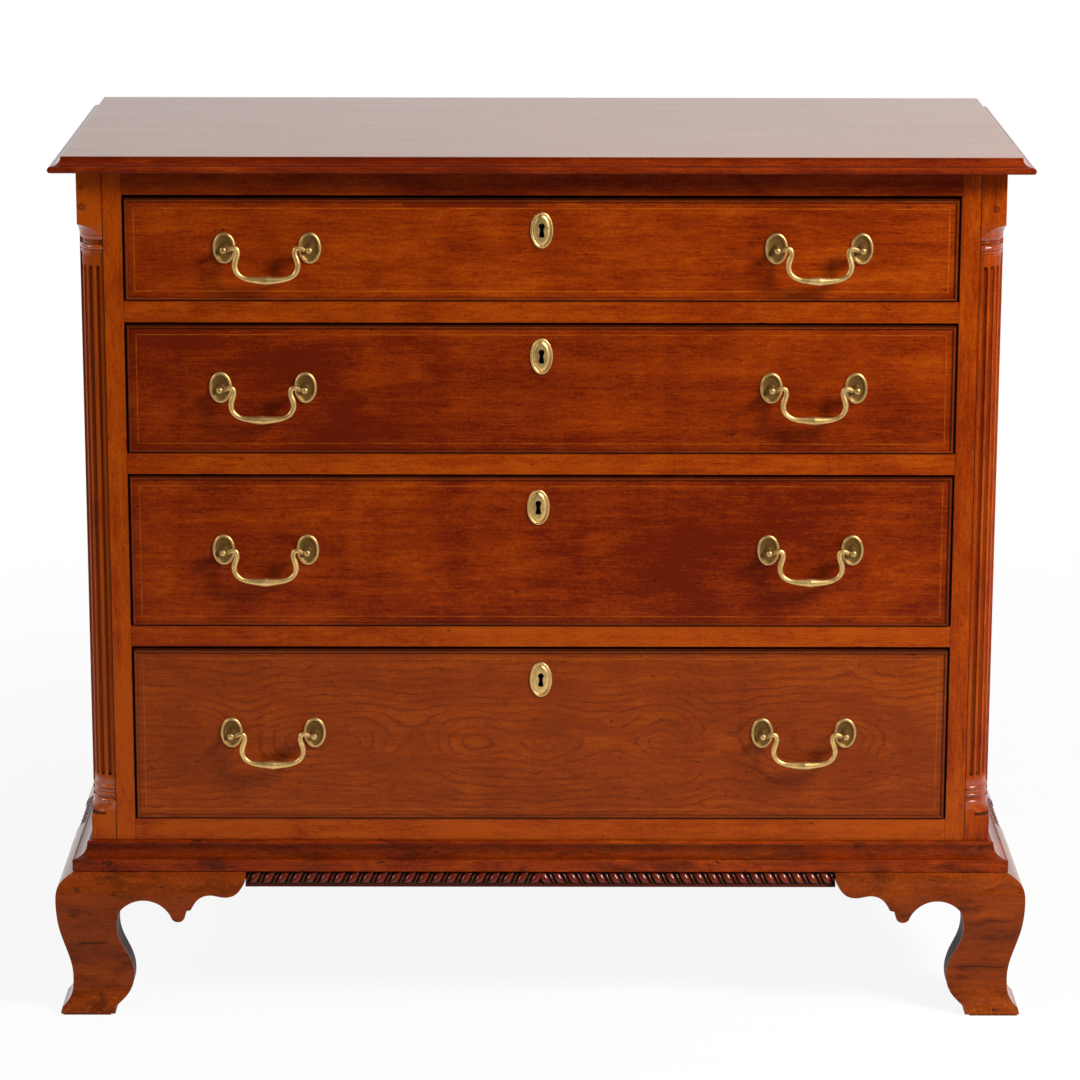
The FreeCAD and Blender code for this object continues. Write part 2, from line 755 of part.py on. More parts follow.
def bail():
    """Swan neck bail about its own middle: a round wire that swells at the grip, with a pin at each end."""
    half = pull_boring / 2
    start = head_radius + bail_gap
    course = [Vector(start - half, 0, 0)]
    course += [Vector((along - 1) * half, 0, up * bail_drop) for along, up in bail_neck + bail_sweep]
    curve = Part.BSplineCurve()
    curve.interpolate(Points=course, InitialTangent=ACROSS, FinalTangent=ACROSS)
    left = []
    for i in range(bail_steps + 1):
        t = curve.FirstParameter + (curve.LastParameter - curve.FirstParameter) * i / bail_steps
        centre = curve.value(t)
        along = curve.tangent(t)[0]
        swell = max(0.0, 1 - abs(centre.x) / bail_grip_length)
        radius = (bail_wire + (bail_grip - bail_wire) * swell * swell * (3 - 2 * swell)) / 2
        left.append((centre, along, radius))
    right = [(Vector(-c.x, 0, c.z), Vector(a.x, 0, -a.z), r) for c, a, r in reversed(left[:-1])]
    turns = [2 * math.pi * (k + 0.5) / bail_sides for k in range(bail_sides)]
    sections = []
    for centre, along, radius in left + right:
        side = Vector(-along.z, 0, along.x)
        sections.append([centre + (side * math.cos(t) + INWARD * math.sin(t)) * radius for t in turns])
    pin = rod(pin_radius, Vector(half - start, 0, 0), bail_gap + pin_length - pin_end_gap, ACROSS)
    return skin(sections).fuse([pin, mirrored(pin)])


def escutcheon(drawer):
    """Oval keyhole plate with a bevelled border and a raised middle."""
    bevel = 2 * escutcheon_bevel
    border = bevel + 2 * escutcheon_border
    crown = border + 2 * escutcheon_boss
    crown_y = -escutcheon_thickness - escutcheon_boss
    sizes = ((0, 0), (bevel, -escutcheon_thickness), (border, -escutcheon_thickness), (crown, crown_y))
    rings = [oval_ring(escutcheon_width - less, escutcheon_height - less, y, oval_sides) for less, y in sizes]
    return moved(skin(rings), drawer.lock_x, 0, drawer.key_z).cut(keyhole(drawer, crown_y, 0))


def build_case(drawers):
    """All fixed pieces of the chest."""
    top_rail = rail(blade_depth, openings[0][1], case_top).cut(bolt_mortise(drawers[0]))
    blades = []
    for above, drawer in zip(openings, drawers[1:]):
        blades.append(rail(blade_depth, drawer.opening_top, above[0]).cut(bolt_mortise(drawer)))
    bottom_rail = rail(rail_thickness, foot_height, openings[-1][0])
    stile = left_stile(Part.Compound([top_rail, bottom_rail] + blades))
    stiles = both_sides([stile])
    column = left_column()
    bottom = case_bottom(both_sides([stile, column]))
    backs = back_boards()
    runners = left_runners()
    side = left_side_panel(Part.Compound([bottom] + runners))
    foot = front_left_foot()
    export("top_board", top_board())
    export("left_side_panel", side)
    export("right_side_panel", mirrored(side))
    export("back_boards", backs)
    export("case_bottom", bottom)
    export("front_stiles", stiles)
    export("left_corner_column", column)
    export("right_corner_column", mirrored(column))
    export("top_rail", top_rail)
    export("drawer_blades", Part.Compound(blades))
    export("bottom_rail", bottom_rail)
    export("drawer_runners", both_sides(runners))
    export("drawer_guides", both_sides(left_guides()))
    export("top_kickers", both_sides([left_kicker()]))
    export("base_moulding", base_moulding())
    export("gadroon_strip", gadroon_strip())
    export("front_left_foot", Part.Compound(foot))
    export("front_right_foot", mirrored(Part.Compound(foot)))
    export("rear_feet", both_sides(rear_left_foot(foot[1])))
    export("foot_glue_blocks", both_sides(left_glue_blocks()))


def build_drawer(drawer, bail_shape):
    """One drawer with its hardware."""
    panel = drawer_bottom(drawer)
    back = drawer_back(drawer)
    sides = both_sides([drawer_left_side(drawer, back, panel)])
    export(drawer.name + "_front", drawer_front(drawer, sides, panel))
    export(drawer.name + "_sides", sides)
    export(drawer.name + "_back", back)
    export(drawer.name + "_bottom", panel)
    export(drawer.name + "_pull_mounts", pull_mounts(drawer))
    for side_name, x in zip(("left", "right"), drawer.pulls):
        export(f"{drawer.name}_{side_name}_bail", moved(bail_shape, x, -hinge_standoff, drawer.pull_z))
    export(drawer.name + "_escutcheon", escutcheon(drawer))
    export(drawer.name + "_lock", drawer_lock(drawer))
    export(drawer.name + "_lock_bolt", bolt_box(drawer, 0))


os.makedirs("parts", exist_ok=True)
all_drawers = [Drawer(i) for i in range(len(openings))]
build_case(all_drawers)
shared_bail = bail()
for one_drawer in all_drawers:
    build_drawer(one_drawer, shared_bail)
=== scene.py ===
import json
import math
import bmesh
import bpy
import numpy as np
from mathutils import Matrix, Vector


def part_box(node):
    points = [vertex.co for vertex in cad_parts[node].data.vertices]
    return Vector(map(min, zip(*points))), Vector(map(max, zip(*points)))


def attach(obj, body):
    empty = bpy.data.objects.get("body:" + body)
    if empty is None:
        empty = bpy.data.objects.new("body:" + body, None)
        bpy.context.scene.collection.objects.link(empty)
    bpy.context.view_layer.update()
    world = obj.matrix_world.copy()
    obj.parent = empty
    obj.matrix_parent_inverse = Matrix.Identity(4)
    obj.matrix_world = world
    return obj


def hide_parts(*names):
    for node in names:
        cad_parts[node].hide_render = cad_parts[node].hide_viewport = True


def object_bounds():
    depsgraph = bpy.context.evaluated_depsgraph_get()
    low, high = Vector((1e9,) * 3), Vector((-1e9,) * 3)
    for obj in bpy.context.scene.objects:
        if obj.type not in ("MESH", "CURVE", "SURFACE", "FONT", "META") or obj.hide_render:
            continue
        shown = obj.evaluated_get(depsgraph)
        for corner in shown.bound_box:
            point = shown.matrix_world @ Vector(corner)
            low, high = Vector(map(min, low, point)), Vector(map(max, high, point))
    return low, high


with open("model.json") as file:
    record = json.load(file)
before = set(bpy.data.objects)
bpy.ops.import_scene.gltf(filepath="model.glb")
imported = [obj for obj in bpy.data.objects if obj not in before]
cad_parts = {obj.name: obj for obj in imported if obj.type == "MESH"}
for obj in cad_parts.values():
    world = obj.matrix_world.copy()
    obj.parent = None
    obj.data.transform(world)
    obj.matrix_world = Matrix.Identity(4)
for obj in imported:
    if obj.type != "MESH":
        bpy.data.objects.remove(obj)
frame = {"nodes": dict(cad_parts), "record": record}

bl_info = {
    "name": "Chest of drawers",
    "version": (1, 0, 0),
    "blender": (4, 5, 0),
    "location": "View3D > Sidebar > Chest",
    "description": "Dresses the chest in stained wood and old brass, and sets it in a plain studio",
    "category": "Object",
}

CAD_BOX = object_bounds()
DRAWERS = ("drawer_1", "drawer_2", "drawer_3", "drawer_4")

# Sizes are millimetres unless a name or heading says metres; x and z as in the frame, y from the case front
MM = 0.001
WELD_METRES = 2e-6
SLIVER_METRES = 1e-7
FRONT_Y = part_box("front_stiles")[0][1]
HALF_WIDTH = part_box("right_side_panel")[1][0] / MM
COLUMN_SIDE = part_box("left_corner_column")[1][0] / MM + HALF_WIDTH
CASE_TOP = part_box("top_board")[0][2] / MM
CASE_DEPTH = (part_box("back_boards")[1][1] - FRONT_Y) / MM
FOOT_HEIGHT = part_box("front_left_foot")[1][2] / MM
BASE_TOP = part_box("base_moulding")[1][2] / MM
BASE_OUT = -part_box("base_moulding")[0][0] / MM - HALF_WIDTH
DRAWER_SIDE_GAP = 1.7
OPENING_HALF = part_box("drawer_1_front")[1][0] / MM + DRAWER_SIDE_GAP

# Steps round and along the finer meshes
COLUMN_TURNS = 121
SHAFT_ROWS = 24
SPLINE_STEPS = 240
BAIL_SPLINE_STEPS = 900
BAIL_STEPS = 170
BAIL_SIDES = 20
PLATE_SIDES = 72
POST_SIDES = 28
KEY_PLATE_SIDES = 96
PLATE_PIN_SIDES = 12

# Edge of the top board: a round nose, a cove over it and a small fillet
TOP_NOSE = 3.5
TOP_COVE = 9.0
TOP_FILLET = 1.2

# Base moulding: ledge against the case, cove and fascia
LEDGE_OUT = 5.0
LEDGE_DROP = 4.0
COVE_DROP = 12.2
COVE_FILLET = 1.4
EASED = 0.5

# Stations of a mitred run: ends, a short step behind the corners, corners; darkening and painted shade lie on
# the front
CORNER_STEP = 0.5
DARKENED_STATIONS = (0.0, 0.0, 1.0, 1.0, 0.0, 0.0)

# Ogee feet: the section from its top to the crease, then flare and toe, as shares of bulge and height
FOOT_BULGE = (FRONT_Y - CAD_BOX[0][1]) / MM
FOOT_OGEE = ((0.48, 1.0), (0.9, 0.935), (1.0, 0.81), (0.91, 0.61), (0.69, 0.415), (0.587, 0.27),
             (0.595, 0.185))
FOOT_FLARE = (0.68, 0.112)
FOOT_TOE = (0.93, 0.052)
FOOT_PAD_INSET = 2.0
FOOT_PAD_HEIGHT = 1.8
FOOT_PAD_STEP = 0.1
FOOT_INNER = 2.0

# Scroll of a bracket as shares of its length and height, from the toe up the leg and along to its end
BRACKET_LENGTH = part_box("front_left_foot")[1][0] / MM + HALF_WIDTH
SCROLL_PAD = 0.114
SCROLL_LEG = ((0.146, 0.058), (0.232, 0.141), (0.267, 0.27), (0.243, 0.395), (0.182, 0.54), (0.168, 0.655),
              (0.183, 0.74))
SCROLL_TOE = 2.0
SCROLL_ARCH = ((0.183, 0.74), (0.346, 0.828), (0.527, 0.692))
SCROLL_PENDANT = ((0.527, 0.692), (0.566, 0.671), (0.61, 0.708))
SCROLL_STEP = ((0.61, 0.708), (0.623, 0.753))
SCROLL_WAVE = ((0.65, 0.76), (0.712, 0.846), (0.779, 0.864), (0.865, 0.85), (0.933, 0.865), (1.0, 0.949))
BRACE_LENGTH = 100.0
BRACE_THICKNESS = 18.0
BRACE_CURVE = ((0.45, 0.0), (0.56, 0.5), (1.0, 0.85))

# Quarter columns: levels are down from the top board at a cap, and up from the base moulding at a foot
SHAFT_RADIUS = 24.0
NECK_RADIUS = 22.8
CAP_NECK = 77.5
FOOT_NECK = 46.8
SHOULDER = 12.0
CAP_SHOULDER = (68.0, 56.0)
FOOT_SHOULDER = (42.0, 26.0)
CAP_LIP = 5.5
FOOT_LIP = 3.0
LIP_SWEEP = 3.0
BLOCK_POWER = 60
FLUTE_RADIUS = 2.6
FLUTE_ANGLES = (15.0, 35.0, 55.0, 75.0)
FLUTE_DROP = 99.0
FLUTE_RISE = 69.0

# Beads of a column: middle, half height, radius at the foot and at the crown; fillets: both ends and radius
CAP_BEADS = ((75.0, 1.6, 0.0, 24.6), (80.2, 3.1, 22.0, 25.9))
FOOT_BEADS = ((49.3, 2.3, 22.0, 25.6), (57.4, 2.8, 22.0, 25.9))
CAP_FILLET = (83.3, 86.3, 24.9)
FOOT_FILLET = (51.8, 54.5, 24.5)

# Stretches of a column that need close rows, the step between those rows, and the caps' and feet's polish
CAP_TURNING = (52.0, 105.0)
FOOT_TURNING = (22.0, 75.0)
TURNING_STEP = 0.35
CAP_MIDDLE = 72.0
FOOT_MIDDLE = 50.0
POLISH_HALF = (13.0, 19.0)

# Varnish that shows more where mouldings and feet face sideways
END_GLOSS = 0.85

# Darkening in the top's cove, on the base's ledge, on the braces and on hidden faces; painted shade in the
# base's cove, in the feet's crease, on their backs and sawn edges, and in the columns' flutes, quirks and
# undercut
TOP_COVE_DARKENING = 0.75
LEDGE_DARKENING = 0.9
BASE_COVE_SHADE = (0.4, 0.2, 0.1)
CREASE_SHADE = 0.4
CREASE_HALF = 1.3
SAWN_SHADE = 1.5
SAWN_STEP = 0.06
BRACE_DARKENING = 0.6
HIDDEN_DARKENING = 0.5
FLUTE_SHADE = 0.6
FLUTE_EYE = 2.2
QUIRK_SHADE = 0.4
QUIRK_RADIUS = 24.4
QUIRK_DEPTH = 1.2
UNDERCUT = 3.0
UNDERCUT_TURN = 0.4

# Marks in the wood. Plugs and nail holes: x, z and radius
PLUGS = ((-469.7, 862.2, 3.4), (464.5, 861.0, 3.2), (-470.0, 882.5, 2.0))
NAILS = ((-488.5, 140.9, 2.6), (-455.8, 165.3, 3.2), (-462.0, 165.8, 2.0), (466.0, 178.0, 2.4))

# Cracks: first x, last x, and the height on the feet or the frame's y on the top
FOOT_CRACKS = ((-489.0, -452.0, 79.5), (443.0, 500.0, 51.3), (-498.0, -484.0, 113.5))
TOP_CRACKS = ((-510.0, -330.0, -165.0), (-510.0, -290.0, 5.0), (-510.0, -380.0, 75.0), (250.0, 510.0, -20.0),
              (380.0, 505.0, -110.0))
CRACK_START = (3.0, 6.0)
CRACK_TAIL = 14.0
CRACK_WANDER = 9.0
CRACK_HALF = (0.3, 1.1)
CRACK_STAIN_HALF = (0.0, 7.0)

# Scuffs on the feet: heights at which they fade out above the floor, and come in on the bulge
SCUFF_FLOOR = (6.0, 30.0)
SCUFF_BULGE = (120.0, 148.0)

# The top alone: colours of its cracks and of its faded face, and how deep under the face the fading ends
TOP_CRACK_SHADE = (0.12, 0.03, 0.006)
FADED = (0.31, 0.125, 0.04)
FADED_DEPTH = (0.6, 0.2)

# Strip let into the upper edge of the top drawer: its range of x and of z
REPAIR = ((-141.6, -15.1), (862.6, 866.8))
REPAIR_BLUR = 0.2

# Drawer fronts and joints: insets from the edge, and distances where a mark starts to fade and is gone
STRING_INSET = 9.8
STRING_HALF = (0.2, 0.7)
BEAD_EDGE = (2.6, 3.4)
BEAD_SHADE = (0.1, 0.024, 0.006)
# The groove beside the bead and the rim by the gap carry painted shade
QUIRK_INSET = 3.4
QUIRK_HALF = (0.1, 0.6)
RIM_EDGE = (0.4, 1.6)
FACE_DEPTH = (1.5, 4.0)
KEY_SHADOW = (9.5, 10.0)
SEAM_HALF = (0.3, 0.9)

# Drawer fronts: height of the grain's heart in metres, growth lines, tone, fading, painted rise of light,
# string
DRAWER_LOOKS = ((0.8, 0.02, -0.03, 0.0, 0.03, 1.0), (0.7, 0.02, -0.085, 0.0, 0.16, 0.7),
                (0.52, 0.02, -0.1, 0.0, -0.1, 0.65), (0.294, 0.22, -0.04, 0.35, 0.0, 0.55))

# Rails: tone and its painted rise of light to the right; the top rail's low tone adds painted shade under the
# top
RAIL_LOOKS = (("drawer_blades", 0.04, 0.07), ("bottom_rail", 0.07, 0.06), ("top_rail", -0.14, -0.03))

# Gadroon strip: overhangs at its foot and top; the lobes as shares of a pitch
GADROON_OUTS = (BASE_OUT + 4.5, BASE_OUT - 1.5)
GADROON_BACK = 3.0
GADROON_PITCH = 14.9
GADROON_LEAN = 8.5
GADROON_RELIEF = 4.2
GADROON_EGG = 1.9
GADROON_LIFT = 1.0
GADROON_FILLET = 0.17
GADROON_STEPS = 2.7
GADROON_BROAD = (0.02, 0.66)
GADROON_THIN = (0.72, 0.96)
GADROON_THIN_RISE = 0.6
GADROON_FILLET_RISE = 0.5
# Painted shade between the lobes: its strength, and how much the lobes' swell takes off
GADROON_GROOVE_SHADE = (1.2, 1.15)

# Bails: the neck's course as shares of half the boring and of the drop
PULL_BORING = 87.5
BAIL_DROP = 31.4
BAIL_NECK = ((0.21, 0.07), (0.302, 0.051), (0.334, -0.07), (0.293, -0.303), (0.265, -0.541), (0.325, -0.764),
             (0.491, -0.924), (0.731, -0.984))
BAIL_GRIP_HALF = 23.0
BAIL_NECK_LEVEL = 0.4
BAIL_NECK_LENGTH = 0.32
BAIL_NECK_SWELL = 1.1
BAIL_GRIP_POWER = 1.2
BAIL_GRIME = 0.6
BAIL_GRIME_REACH = 12.0
BAIL_GRIME_RUN = 10.0
PIN_RADIUS = 1.6
PIN_LENGTH = 4.6
PIN_STEP = 0.4
PIN_COURSE = (1.0, 4.1)

# Rosettes, posts and nuts. A plate's section: inset from the rim and height; a post's stem: radius and depth
ROSETTE = (23.8, 33.0)
ROSETTE_SECTION = ((0.0, 0.0), (0.1, 0.8), (0.5, 1.7), (1.2, 2.3), (2.2, 2.5), (3.0, 2.3), (3.6, 1.6),
                   (4.4, 1.05), (6.2, 0.8))
ROSETTE_GRIME = (0.7, 0.5, 0.35, 0.3, 0.35, 0.6, 1.0, 0.95, 0.85, 1.1)
SHANK_RADIUS = 2.3
SHANK_END = 25.0
SHANK_FRONT = 0.9
POST_STEM = ((4.4, -1.0), (4.3, -2.2), (3.3, -4.0), (2.7, -6.5), (2.5, -9.5), (2.6, -11.6))
POST_GRIME = 0.8
HEAD_RADIUS = 3.8
HEAD_POWER = 0.6
HEAD_HIDDEN = 4
HEAD_GRIME = (1.2, 0.2)
NUT_SIDE = 10.0
NUT_THICKNESS = 3.0
FRONT_THICKNESS = 22.0

# Keyhole plates and their pins
ESCUTCHEON = (23.7, 38.0)
ESCUTCHEON_SECTION = ((0.0, 0.0), (0.1, 0.7), (0.5, 1.35), (1.2, 1.7), (2.0, 1.55), (2.7, 1.0), (3.2, 0.75),
                      (3.7, 0.95), (4.3, 1.55), (5.1, 2.0), (6.0, 2.25))
ESCUTCHEON_GRIME = (0.5, 0.2, 0.0, 0.0, 0.05, 0.3, 0.45, 0.3, 0.0, 0.0, 0.0)
KEY_RADIUS = 3.1
KEY_WAIST = 1.9
KEY_FLARE = 2.9
KEY_HEIGHT = 14.8
KEY_WAIST_DROP = 0.3
KEY_SPLAY = (0.9, 1.2)
PLATE_PIN_REACH = 16.2
PLATE_PIN_SECTION = ((0.0, -2.5), (0.55, -2.4), (0.95, -1.9), (1.1, -1.0))

# Studio in metres: floor, where it turns white, the backdrop's edge, and each lamp's place, aim and size
FLOOR_HALF = 20.0
FLOOR_FRONT = -1.7
FLOOR_DROP = -0.0002
FLOOR_WHITE = (0.5, 2.2)
FLOOR_SHADE = 0.1
BACKDROP_EDGE = (0.0, 0.35)
KEY_LAMP = ((2.1, -1.55, 2.3), (0.1, -0.2, 0.5), (0.9, 0.9))
FILL_LAMP = ((-2.8, -0.7, 1.9), (-0.4, -0.2, 0.5), (0.9, 0.9))

# Camera fitted to the photo: place in metres with y from the case front, turns in radians, the photo's pixels
CAMERA_PLACE = (-0.01308, -4.13898, 1.53819)
CAMERA_YAW = -0.00288
CAMERA_PITCH = 0.24289
CAMERA_ROLL = 0.0020
CAMERA_SENSOR = 36.0
FOCAL_PIXELS = 4096.5
PHOTO_PIXELS = 1080


# Sizes and colours that can be changed


class ChestWoodSettings(bpy.types.PropertyGroup):
    """Tones of the stained wood and of the bare wood inside."""

    dark: bpy.props.FloatVectorProperty(
        name="Dark grain", description="Colour of the darkest streaks", subtype="COLOR", size=3,
        min=0, max=1, default=(0.12, 0.0085, 0.0004))
    middle: bpy.props.FloatVectorProperty(
        name="Ground", description="Colour of most of the wood", subtype="COLOR", size=3,
        min=0, max=1, default=(0.24, 0.026, 0.0004))
    light: bpy.props.FloatVectorProperty(
        name="Light grain", description="Colour of the palest streaks", subtype="COLOR", size=3,
        min=0, max=1, default=(0.37, 0.058, 0.001))
    string: bpy.props.FloatVectorProperty(
        name="String", description="Colour of the thin line let into each drawer front", subtype="COLOR",
        size=3, min=0, max=1, default=(0.5, 0.12, 0.004))
    # The grime colour also paints shade in flutes, quirks, creases, coves, grooves and on sawn edges
    grime: bpy.props.FloatVectorProperty(
        name="Grime", description="Colour of old polish in corners and cracks", subtype="COLOR", size=3,
        min=0, max=1, default=(0.018, 0.0045, 0.0016))
    brown: bpy.props.FloatVectorProperty(
        name="Faded wood", description="Colour that faded boards turn towards", subtype="COLOR", size=3,
        min=0, max=1, default=(0.19, 0.042, 0.006))
    bare: bpy.props.FloatVectorProperty(
        name="Bare wood", description="Colour of the unfinished wood inside", subtype="COLOR", size=3,
        min=0, max=1, default=(0.42, 0.25, 0.115))


class ChestBrassSettings(bpy.types.PropertyGroup):
    """Tones of the brass and the main sizes of the pulls."""

    bright: bpy.props.FloatVectorProperty(
        name="Bright brass", description="Colour where hands keep the brass clean", subtype="COLOR", size=3,
        min=0, max=1, default=(0.86, 0.57, 0.22))
    dull: bpy.props.FloatVectorProperty(
        name="Dull brass", description="Colour of tarnished skin", subtype="COLOR", size=3,
        min=0, max=1, default=(0.56, 0.34, 0.11))
    hollow: bpy.props.FloatVectorProperty(
        name="Hollows", description="Colour of old polish in the hollows", subtype="COLOR", size=3,
        min=0, max=1, default=(0.17, 0.08, 0.018))
    wire: bpy.props.FloatProperty(
        name="Bail wire", description="Thickness of a bail away from its grip", subtype="DISTANCE",
        unit="LENGTH", min=0.002, max=0.01, default=0.005)
    grip: bpy.props.FloatProperty(
        name="Bail grip", description="Thickness of a bail in the middle of its grip", subtype="DISTANCE",
        unit="LENGTH", min=0.002, max=0.02, default=0.0092)


class ChestStudioSettings(bpy.types.PropertyGroup):
    """Light on the chest."""

    key: bpy.props.FloatProperty(
        name="Key lamp", description="Power of the lamp on the right", subtype="POWER", unit="POWER",
        min=0, default=120.0)
    fill: bpy.props.FloatProperty(
        name="Fill lamp", description="Power of the lamp on the left", subtype="POWER", unit="POWER",
        min=0, default=28.0)
    sky: bpy.props.FloatProperty(
        name="Room light", description="Strength of the even light from all round", min=0, max=2,
        default=0.15)
    dark_side: bpy.props.FloatProperty(
        name="Dark side", description="Brightness in reflections of the room away from the backdrop",
        min=0, max=1, default=0.14)


# Curves and grids


def smooth_path(points, count):
    """Natural cubic spline by chord length through the points, at even steps of the chord length.

    The bends at the points solve a band of three: each span's cubic meets the next with equal slope and bend.
    """
    p = np.asarray(points, float)
    n = len(p)
    t = np.concatenate([[0.0], np.cumsum(np.linalg.norm(np.diff(p, axis=0), axis=1))])
    h = np.diff(t)
    band = np.eye(n)
    row = np.arange(1, n - 1)
    band[row, row - 1] = h[:-1]
    band[row, row] = 2 * (h[:-1] + h[1:])
    band[row, row + 1] = h[1:]
    change = np.zeros_like(p)
    change[1:-1] = 6 * np.diff(np.diff(p, axis=0) / h[:, None], axis=0)
    bend = np.linalg.solve(band, change)
    s = np.linspace(0, t[-1], count)
    k = np.clip(np.searchsorted(t, s, side="right") - 1, 0, n - 2)
    hk = h[k][:, None]
    u = (s - t[k])[:, None]
    w = (t[k + 1] - s)[:, None]
    cubic = (bend[k] * w ** 3 + bend[k + 1] * u ** 3) / (6 * hk)
    return cubic + (p[k] / hk - bend[k] * hk / 6) * w + (p[k + 1] / hk - bend[k + 1] * hk / 6) * u


def arc_path(points, count):
    """Points on the circle through three points: its centre is where the chords' middle lines meet."""
    a, b, c = np.asarray(points, float)
    chords = np.array([b - a, c - b])
    middles = np.array([(b - a) @ (a + b), (c - b) @ (b + c)]) / 2
    centre = np.linalg.solve(chords, middles)
    start, mid, end = (math.atan2(*(v - centre)[::-1]) for v in (a, b, c))
    mid, end = start + (mid - start) % (2 * math.pi), start + (end - start) % (2 * math.pi)
    if mid > end:
        end -= 2 * math.pi
    turn = np.linspace(start, end, count)
    return centre + np.linalg.norm(a - centre) * np.stack([np.cos(turn), np.sin(turn)], 1)


def even_steps(path, count):
    """The same course at even steps of its own length."""
    length = np.concatenate([[0.0], np.cumsum(np.linalg.norm(np.diff(path, axis=0), axis=1))])
    at = np.linspace(0, length[-1], count)
    return np.stack([np.interp(at, length, column) for column in path.T], 1)


def eased(count):
    """Shares from 0 to 1, closer together at both ends."""
    return (1 - np.cos(np.linspace(0, math.pi, count))) / 2


def between(first, last, shares):
    """Grid of straight lines from each point of one row to its partner on another."""
    share = np.asarray(shares, float)[None, :, None]
    return first[:, None, :] * (1 - share) + last[:, None, :] * share


def in_frame(points, grime=0.0):
    """Millimetres from the case front turned into metres in the frame, with soiling and painted shade as a
    fourth number.
    """
    placed = np.asarray(points, float) * MM + np.array([0.0, FRONT_Y, 0.0])
    return np.concatenate([placed, np.broadcast_to(grime, placed.shape[:-1])[..., None]], -1)


def mirror_x(grids):
    """The same grids on the other side of the middle plane."""
    return [grid * np.array([-1.0, 1.0, 1.0, 1.0]) for grid in grids]


def grid_faces(shape, first):
    """Corner numbers of the four sided faces of a grid whose vertices start at first."""
    rows, cols = shape
    number = first + np.arange(rows * cols).reshape(rows, cols)
    corners = (number[:-1, :-1], number[1:, :-1], number[1:, 1:], number[:-1, 1:])
    return np.stack([c.ravel() for c in corners], 1)


def make_piece(name, grids, material, nodes, crease, body="carcass"):
    """Closed mesh of grids joined where they meet, which stands for CAD nodes and rides on a body."""
    firsts = np.concatenate([[0], np.cumsum([g.shape[0] * g.shape[1] for g in grids])])
    verts = np.concatenate([g.reshape(-1, 4) for g in grids])
    faces = np.concatenate([grid_faces(g.shape[:2], first) for g, first in zip(grids, firsts)])
    mesh = bpy.data.meshes.new(name)
    mesh.from_pydata(verts[:, :3].tolist(), [], faces.tolist())
    mesh.attributes.new("grime", "FLOAT", "POINT").data.foreach_set("value", verts[:, 3].astype(np.float32))
    shell = bmesh.new()
    shell.from_mesh(mesh)
    bmesh.ops.remove_doubles(shell, verts=shell.verts, dist=WELD_METRES)
    bmesh.ops.dissolve_degenerate(shell, edges=shell.edges, dist=SLIVER_METRES)
    bmesh.ops.recalc_face_normals(shell, faces=shell.faces)
    shell.to_mesh(mesh)
    shell.free()
    mesh.polygons.foreach_set("use_smooth", np.ones(len(mesh.polygons), bool))
    mesh.set_sharp_from_angle(angle=math.radians(crease))
    facing = np.empty(3 * len(mesh.polygons), np.float32)
    mesh.polygons.foreach_get("normal", facing)
    mesh.attributes.new("sideways", "FLOAT", "FACE").data.foreach_set("value", np.abs(facing[::3]))
    mesh.materials.append(material)
    piece = bpy.data.objects.new(name, mesh)
    bpy.context.scene.collection.objects.link(piece)
    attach(piece, body)
    if nodes:
        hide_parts(*nodes)


# Shapes of the wooden pieces


def mitred_run(section, half, front, back):
    """Section carried round the left end, the front and the right end.

    Each section point is an inset from the outer line and a height. At the front corners the inset runs along
    the mitre, so it is taken off both x and y. A station close behind each corner parts the front, which
    carries darkening and painted shade, from the ends.
    """
    inset, z = np.asarray(section, float).T
    near, low = front + inset, np.full_like(inset, back)
    stations = [(-1, low), (-1, near + CORNER_STEP), (-1, near), (1, near), (1, near + CORNER_STEP), (1, low)]
    return np.stack([np.stack([side * (half - inset), y, z], 1) for side, y in stations])


def top_board_grids():
    """Top board: an edge carried round three sides, with flat faces over, under and behind.

    The edge is a nose of half a circle, a cove of a quarter ellipse, and a small fillet with an eased arris.
    """
    low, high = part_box("top_board")
    half, front, back = high[0] / MM, (low[1] - FRONT_Y) / MM, (high[1] - FRONT_Y) / MM
    thick = high[2] / MM - CASE_TOP
    round_turn = np.linspace(-math.pi / 2, math.pi / 2, 17)
    turn = np.linspace(0, math.pi / 2, 13)
    nose = np.stack([TOP_NOSE * (1 - np.cos(round_turn)), TOP_NOSE * (1 + np.sin(round_turn))], 1)
    cove_top = thick - TOP_FILLET
    cove_rise = cove_top - 2 * TOP_NOSE
    cove = np.stack([TOP_NOSE + TOP_COVE * np.sin(turn), cove_top - cove_rise * np.cos(turn)], 1)
    edge = TOP_NOSE + TOP_COVE
    arris = [(edge, thick - EASED), (edge + 0.3 * EASED, thick - 0.3 * EASED), (edge + EASED, thick)]
    run = mitred_run(np.concatenate([nose, cove, arris]) + np.array([0.0, CASE_TOP]), half, front, back)
    cove_darkening = TOP_COVE_DARKENING * np.cos(turn) ** 8
    grime = np.concatenate([np.zeros(len(nose)), cove_darkening, np.zeros(len(arris))])
    top = np.stack([run[:3, -1], run[:2:-1, -1]])
    under = np.stack([run[:3, 0], run[:2:-1, 0]])
    rear = np.stack([run[0], run[-1]])
    return [in_frame(run, np.outer(DARKENED_STATIONS, grime))] + [in_frame(grid) for grid in (top, under, rear)]


